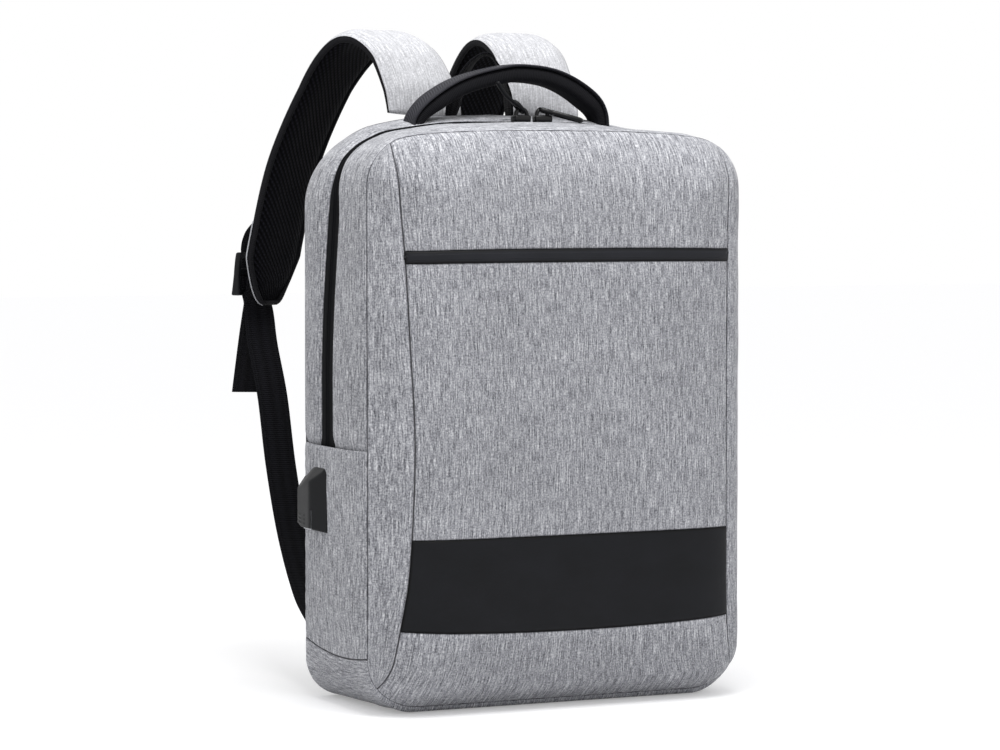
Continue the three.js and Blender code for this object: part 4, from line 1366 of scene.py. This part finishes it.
def laptopDivider():
    low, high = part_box("laptop_divider")
    wide, tall, half = high.x - low.x, high.z - low.z, (high.y - low.y) / 2

    def lie(a, b, out):
        fromSide = min(a, wide - a)
        corner = divider["corner"]
        cut = corner - math.sqrt(max(0, corner ** 2 - max(0, corner - fromSide) ** 2))
        z = b / tall * (tall - cut)
        row = abs((b / tall * divider["channels"]) % 1 - 0.5) * 2
        fill = half - divider["groove"] * math.exp(-((1 - row) / 0.035) ** 2)
        soft = ripple((a, 0, b), 0.05, 0.0006, 51)
        return Vector((low.x + a, low.y + half + out * fill + soft * abs(out), low.z + z))
    mesh = pillow(stops(wide, 0.005), stops(tall, 0.0035), lie, 0.004)
    piece = makePiece("divider_pad", mesh, [lining], "black_lining", "bag", ["laptop_divider"])
    seam = piece.data.attributes["seam"].data
    rows = [tall * i / divider["channels"] for i in range(1, divider["channels"])]
    inflate(piece, [corner.index for corner in piece.data.vertices if seam[corner.index].value < 5
                    or any(abs(corner.co.z - low.z - row) < 0.003 for row in rows)])


def pocketLining():
    low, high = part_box("front_pocket_lining")
    wide, tall = high.x - low.x, high.z - low.z

    def lie(a, b, out):
        x, z = low.x + a, low.z + b
        sag = 0.0040 * math.exp(-b / 0.04) * abs(out)
        soft = ripple((x, 0, z), 0.04, 0.0008, 57)
        return frontPoint(x, z, -0.0098 + 0.0052 * out - (sag if out < 0 else 0) + soft)
    mesh = pillow(stops(wide, 0.005), stops(tall, 0.005), lie, 0.012)
    makePiece("front_pocket_bag", mesh, [lining], "black_lining", "lid", ["front_pocket_lining"])


def sidePanel(word):
    low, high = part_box(f"{word}_side_panel")
    wide, tall, half = high.y - low.y, high.z - low.z, (high.x - low.x) / 2

    def lie(a, b, out):
        soft = ripple((0, a, b), 0.04, 0.0010, 61)
        return Vector((low.x + half + out * half * 0.8 + soft, low.y + a, low.z + b))
    mesh = pillow(stops(wide, 0.005), stops(tall, 0.005), lie, 0.0015)
    makePiece(f"{word}_inner_wall", mesh, [lining], "black_lining", "bag", [f"{word}_side_panel"])


laptopDivider()
pocketLining()
sidePanel("left")
sidePanel("right")
print("inner parts made")


# CAD nodes that keep their shape
for name, material in (("base_board", board), ("usb_backing_plate", plastic), ("usb_socket", tin),
                       ("pocket_slider", lacquer)):
    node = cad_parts[name]
    node.data.materials.clear()
    node.data.materials.append(material)


# floor, light and camera

# key is the lamp's power in watts
studio = dict(sky=1.05, horizon=0.61, key=5.9, keySize=0.5, keyAt=(-0.10, -0.32, 1.05), keyAim=(0, 0, 0.25),
              floor="#e4e4e5", glow=0.29)


def seenDirectly(tree):  # 1 for rays from the camera, or from a mirror or glass surface
    path = tree.nodes.new("ShaderNodeLightPath")
    camera, glossy, passing = (path.outputs[f"Is {kind} Ray"] for kind in ("Camera", "Glossy", "Transmission"))
    mirrored = addNode(tree, "Math", {0: glossy, 1: passing}, operation="MAXIMUM")
    return addNode(tree, "Math", {0: camera, 1: mirrored}, operation="MAXIMUM")


def lightRoom():
    world = bpy.data.worlds.new("room")
    bpy.context.scene.world = world
    world.use_nodes = True
    tree = world.node_tree
    tree.nodes.clear()
    way = addNode(tree, "SeparateXYZ", {0: addNode(tree, "TexCoord")}, output=2)
    sky = addNode(tree, "MapRange", {"Value": way, "To Min": studio["horizon"], "To Max": studio["sky"]})
    strength = addNode(tree, "Mix", {0: seenDirectly(tree), 2: sky, 3: 1.0})
    light = addNode(tree, "Background", {"Color": (1, 1, 1, 1), "Strength": strength})
    end = tree.nodes.new("ShaderNodeOutputWorld")
    tree.links.new(light, end.inputs["Surface"])
    lamp = bpy.data.lights.new("key", "AREA")
    lamp.size = studio["keySize"]
    lamp.energy = studio["key"]
    holder = bpy.data.objects.new("key", lamp)
    holder.location = studio["keyAt"]
    aim = Vector(studio["keyAim"]) - Vector(studio["keyAt"])
    holder.rotation_euler = aim.to_track_quat("-Z", "Y").to_euler()
    bpy.context.scene.collection.objects.link(holder)


def layFloor():
    mesh = bmesh.new()
    bmesh.ops.create_grid(mesh, x_segments=1, y_segments=1, size=9)
    floor = newObject("floor", mesh)
    material, tree, shader = newMaterial("paper_matt_white", studio["floor"], Roughness=0.9, Specular_IOR_Level=0.0)
    shader.inputs["Emission Color"].default_value = (1, 1, 1, 1)
    glow = times(tree, seenDirectly(tree), studio["glow"])  # keeps the floor white up to the horizon
    tree.links.new(glow, shader.inputs["Emission Strength"])
    floor.data.materials.append(material)


# angles in degrees, lens and sensor in millimetres
look = dict(azimuth=-25.451, elevation=3.067, distance=2.6408, target=(-0.01816, 0, 0.23736), lens=129.17, sensor=36)


def setCamera():
    azimuth, elevation = math.radians(look["azimuth"]), math.radians(look["elevation"])
    away = Vector((math.sin(azimuth) * math.cos(elevation), -math.cos(azimuth) * math.cos(elevation),
                   math.sin(elevation)))
    lens = bpy.data.cameras.new("camera")
    lens.lens = look["lens"]
    lens.sensor_width = look["sensor"]
    lens.clip_end = 40
    camera = bpy.data.objects.new("camera", lens)
    camera.location = Vector(look["target"]) + away * look["distance"]
    camera.rotation_euler = (-away).to_track_quat("-Z", "Y").to_euler()
    bpy.context.scene.collection.objects.link(camera)
    bpy.context.scene.camera = camera


lightRoom()
layFloor()
setCamera()
bpy.context.scene.view_settings.view_transform = "Standard"
print("room ready")
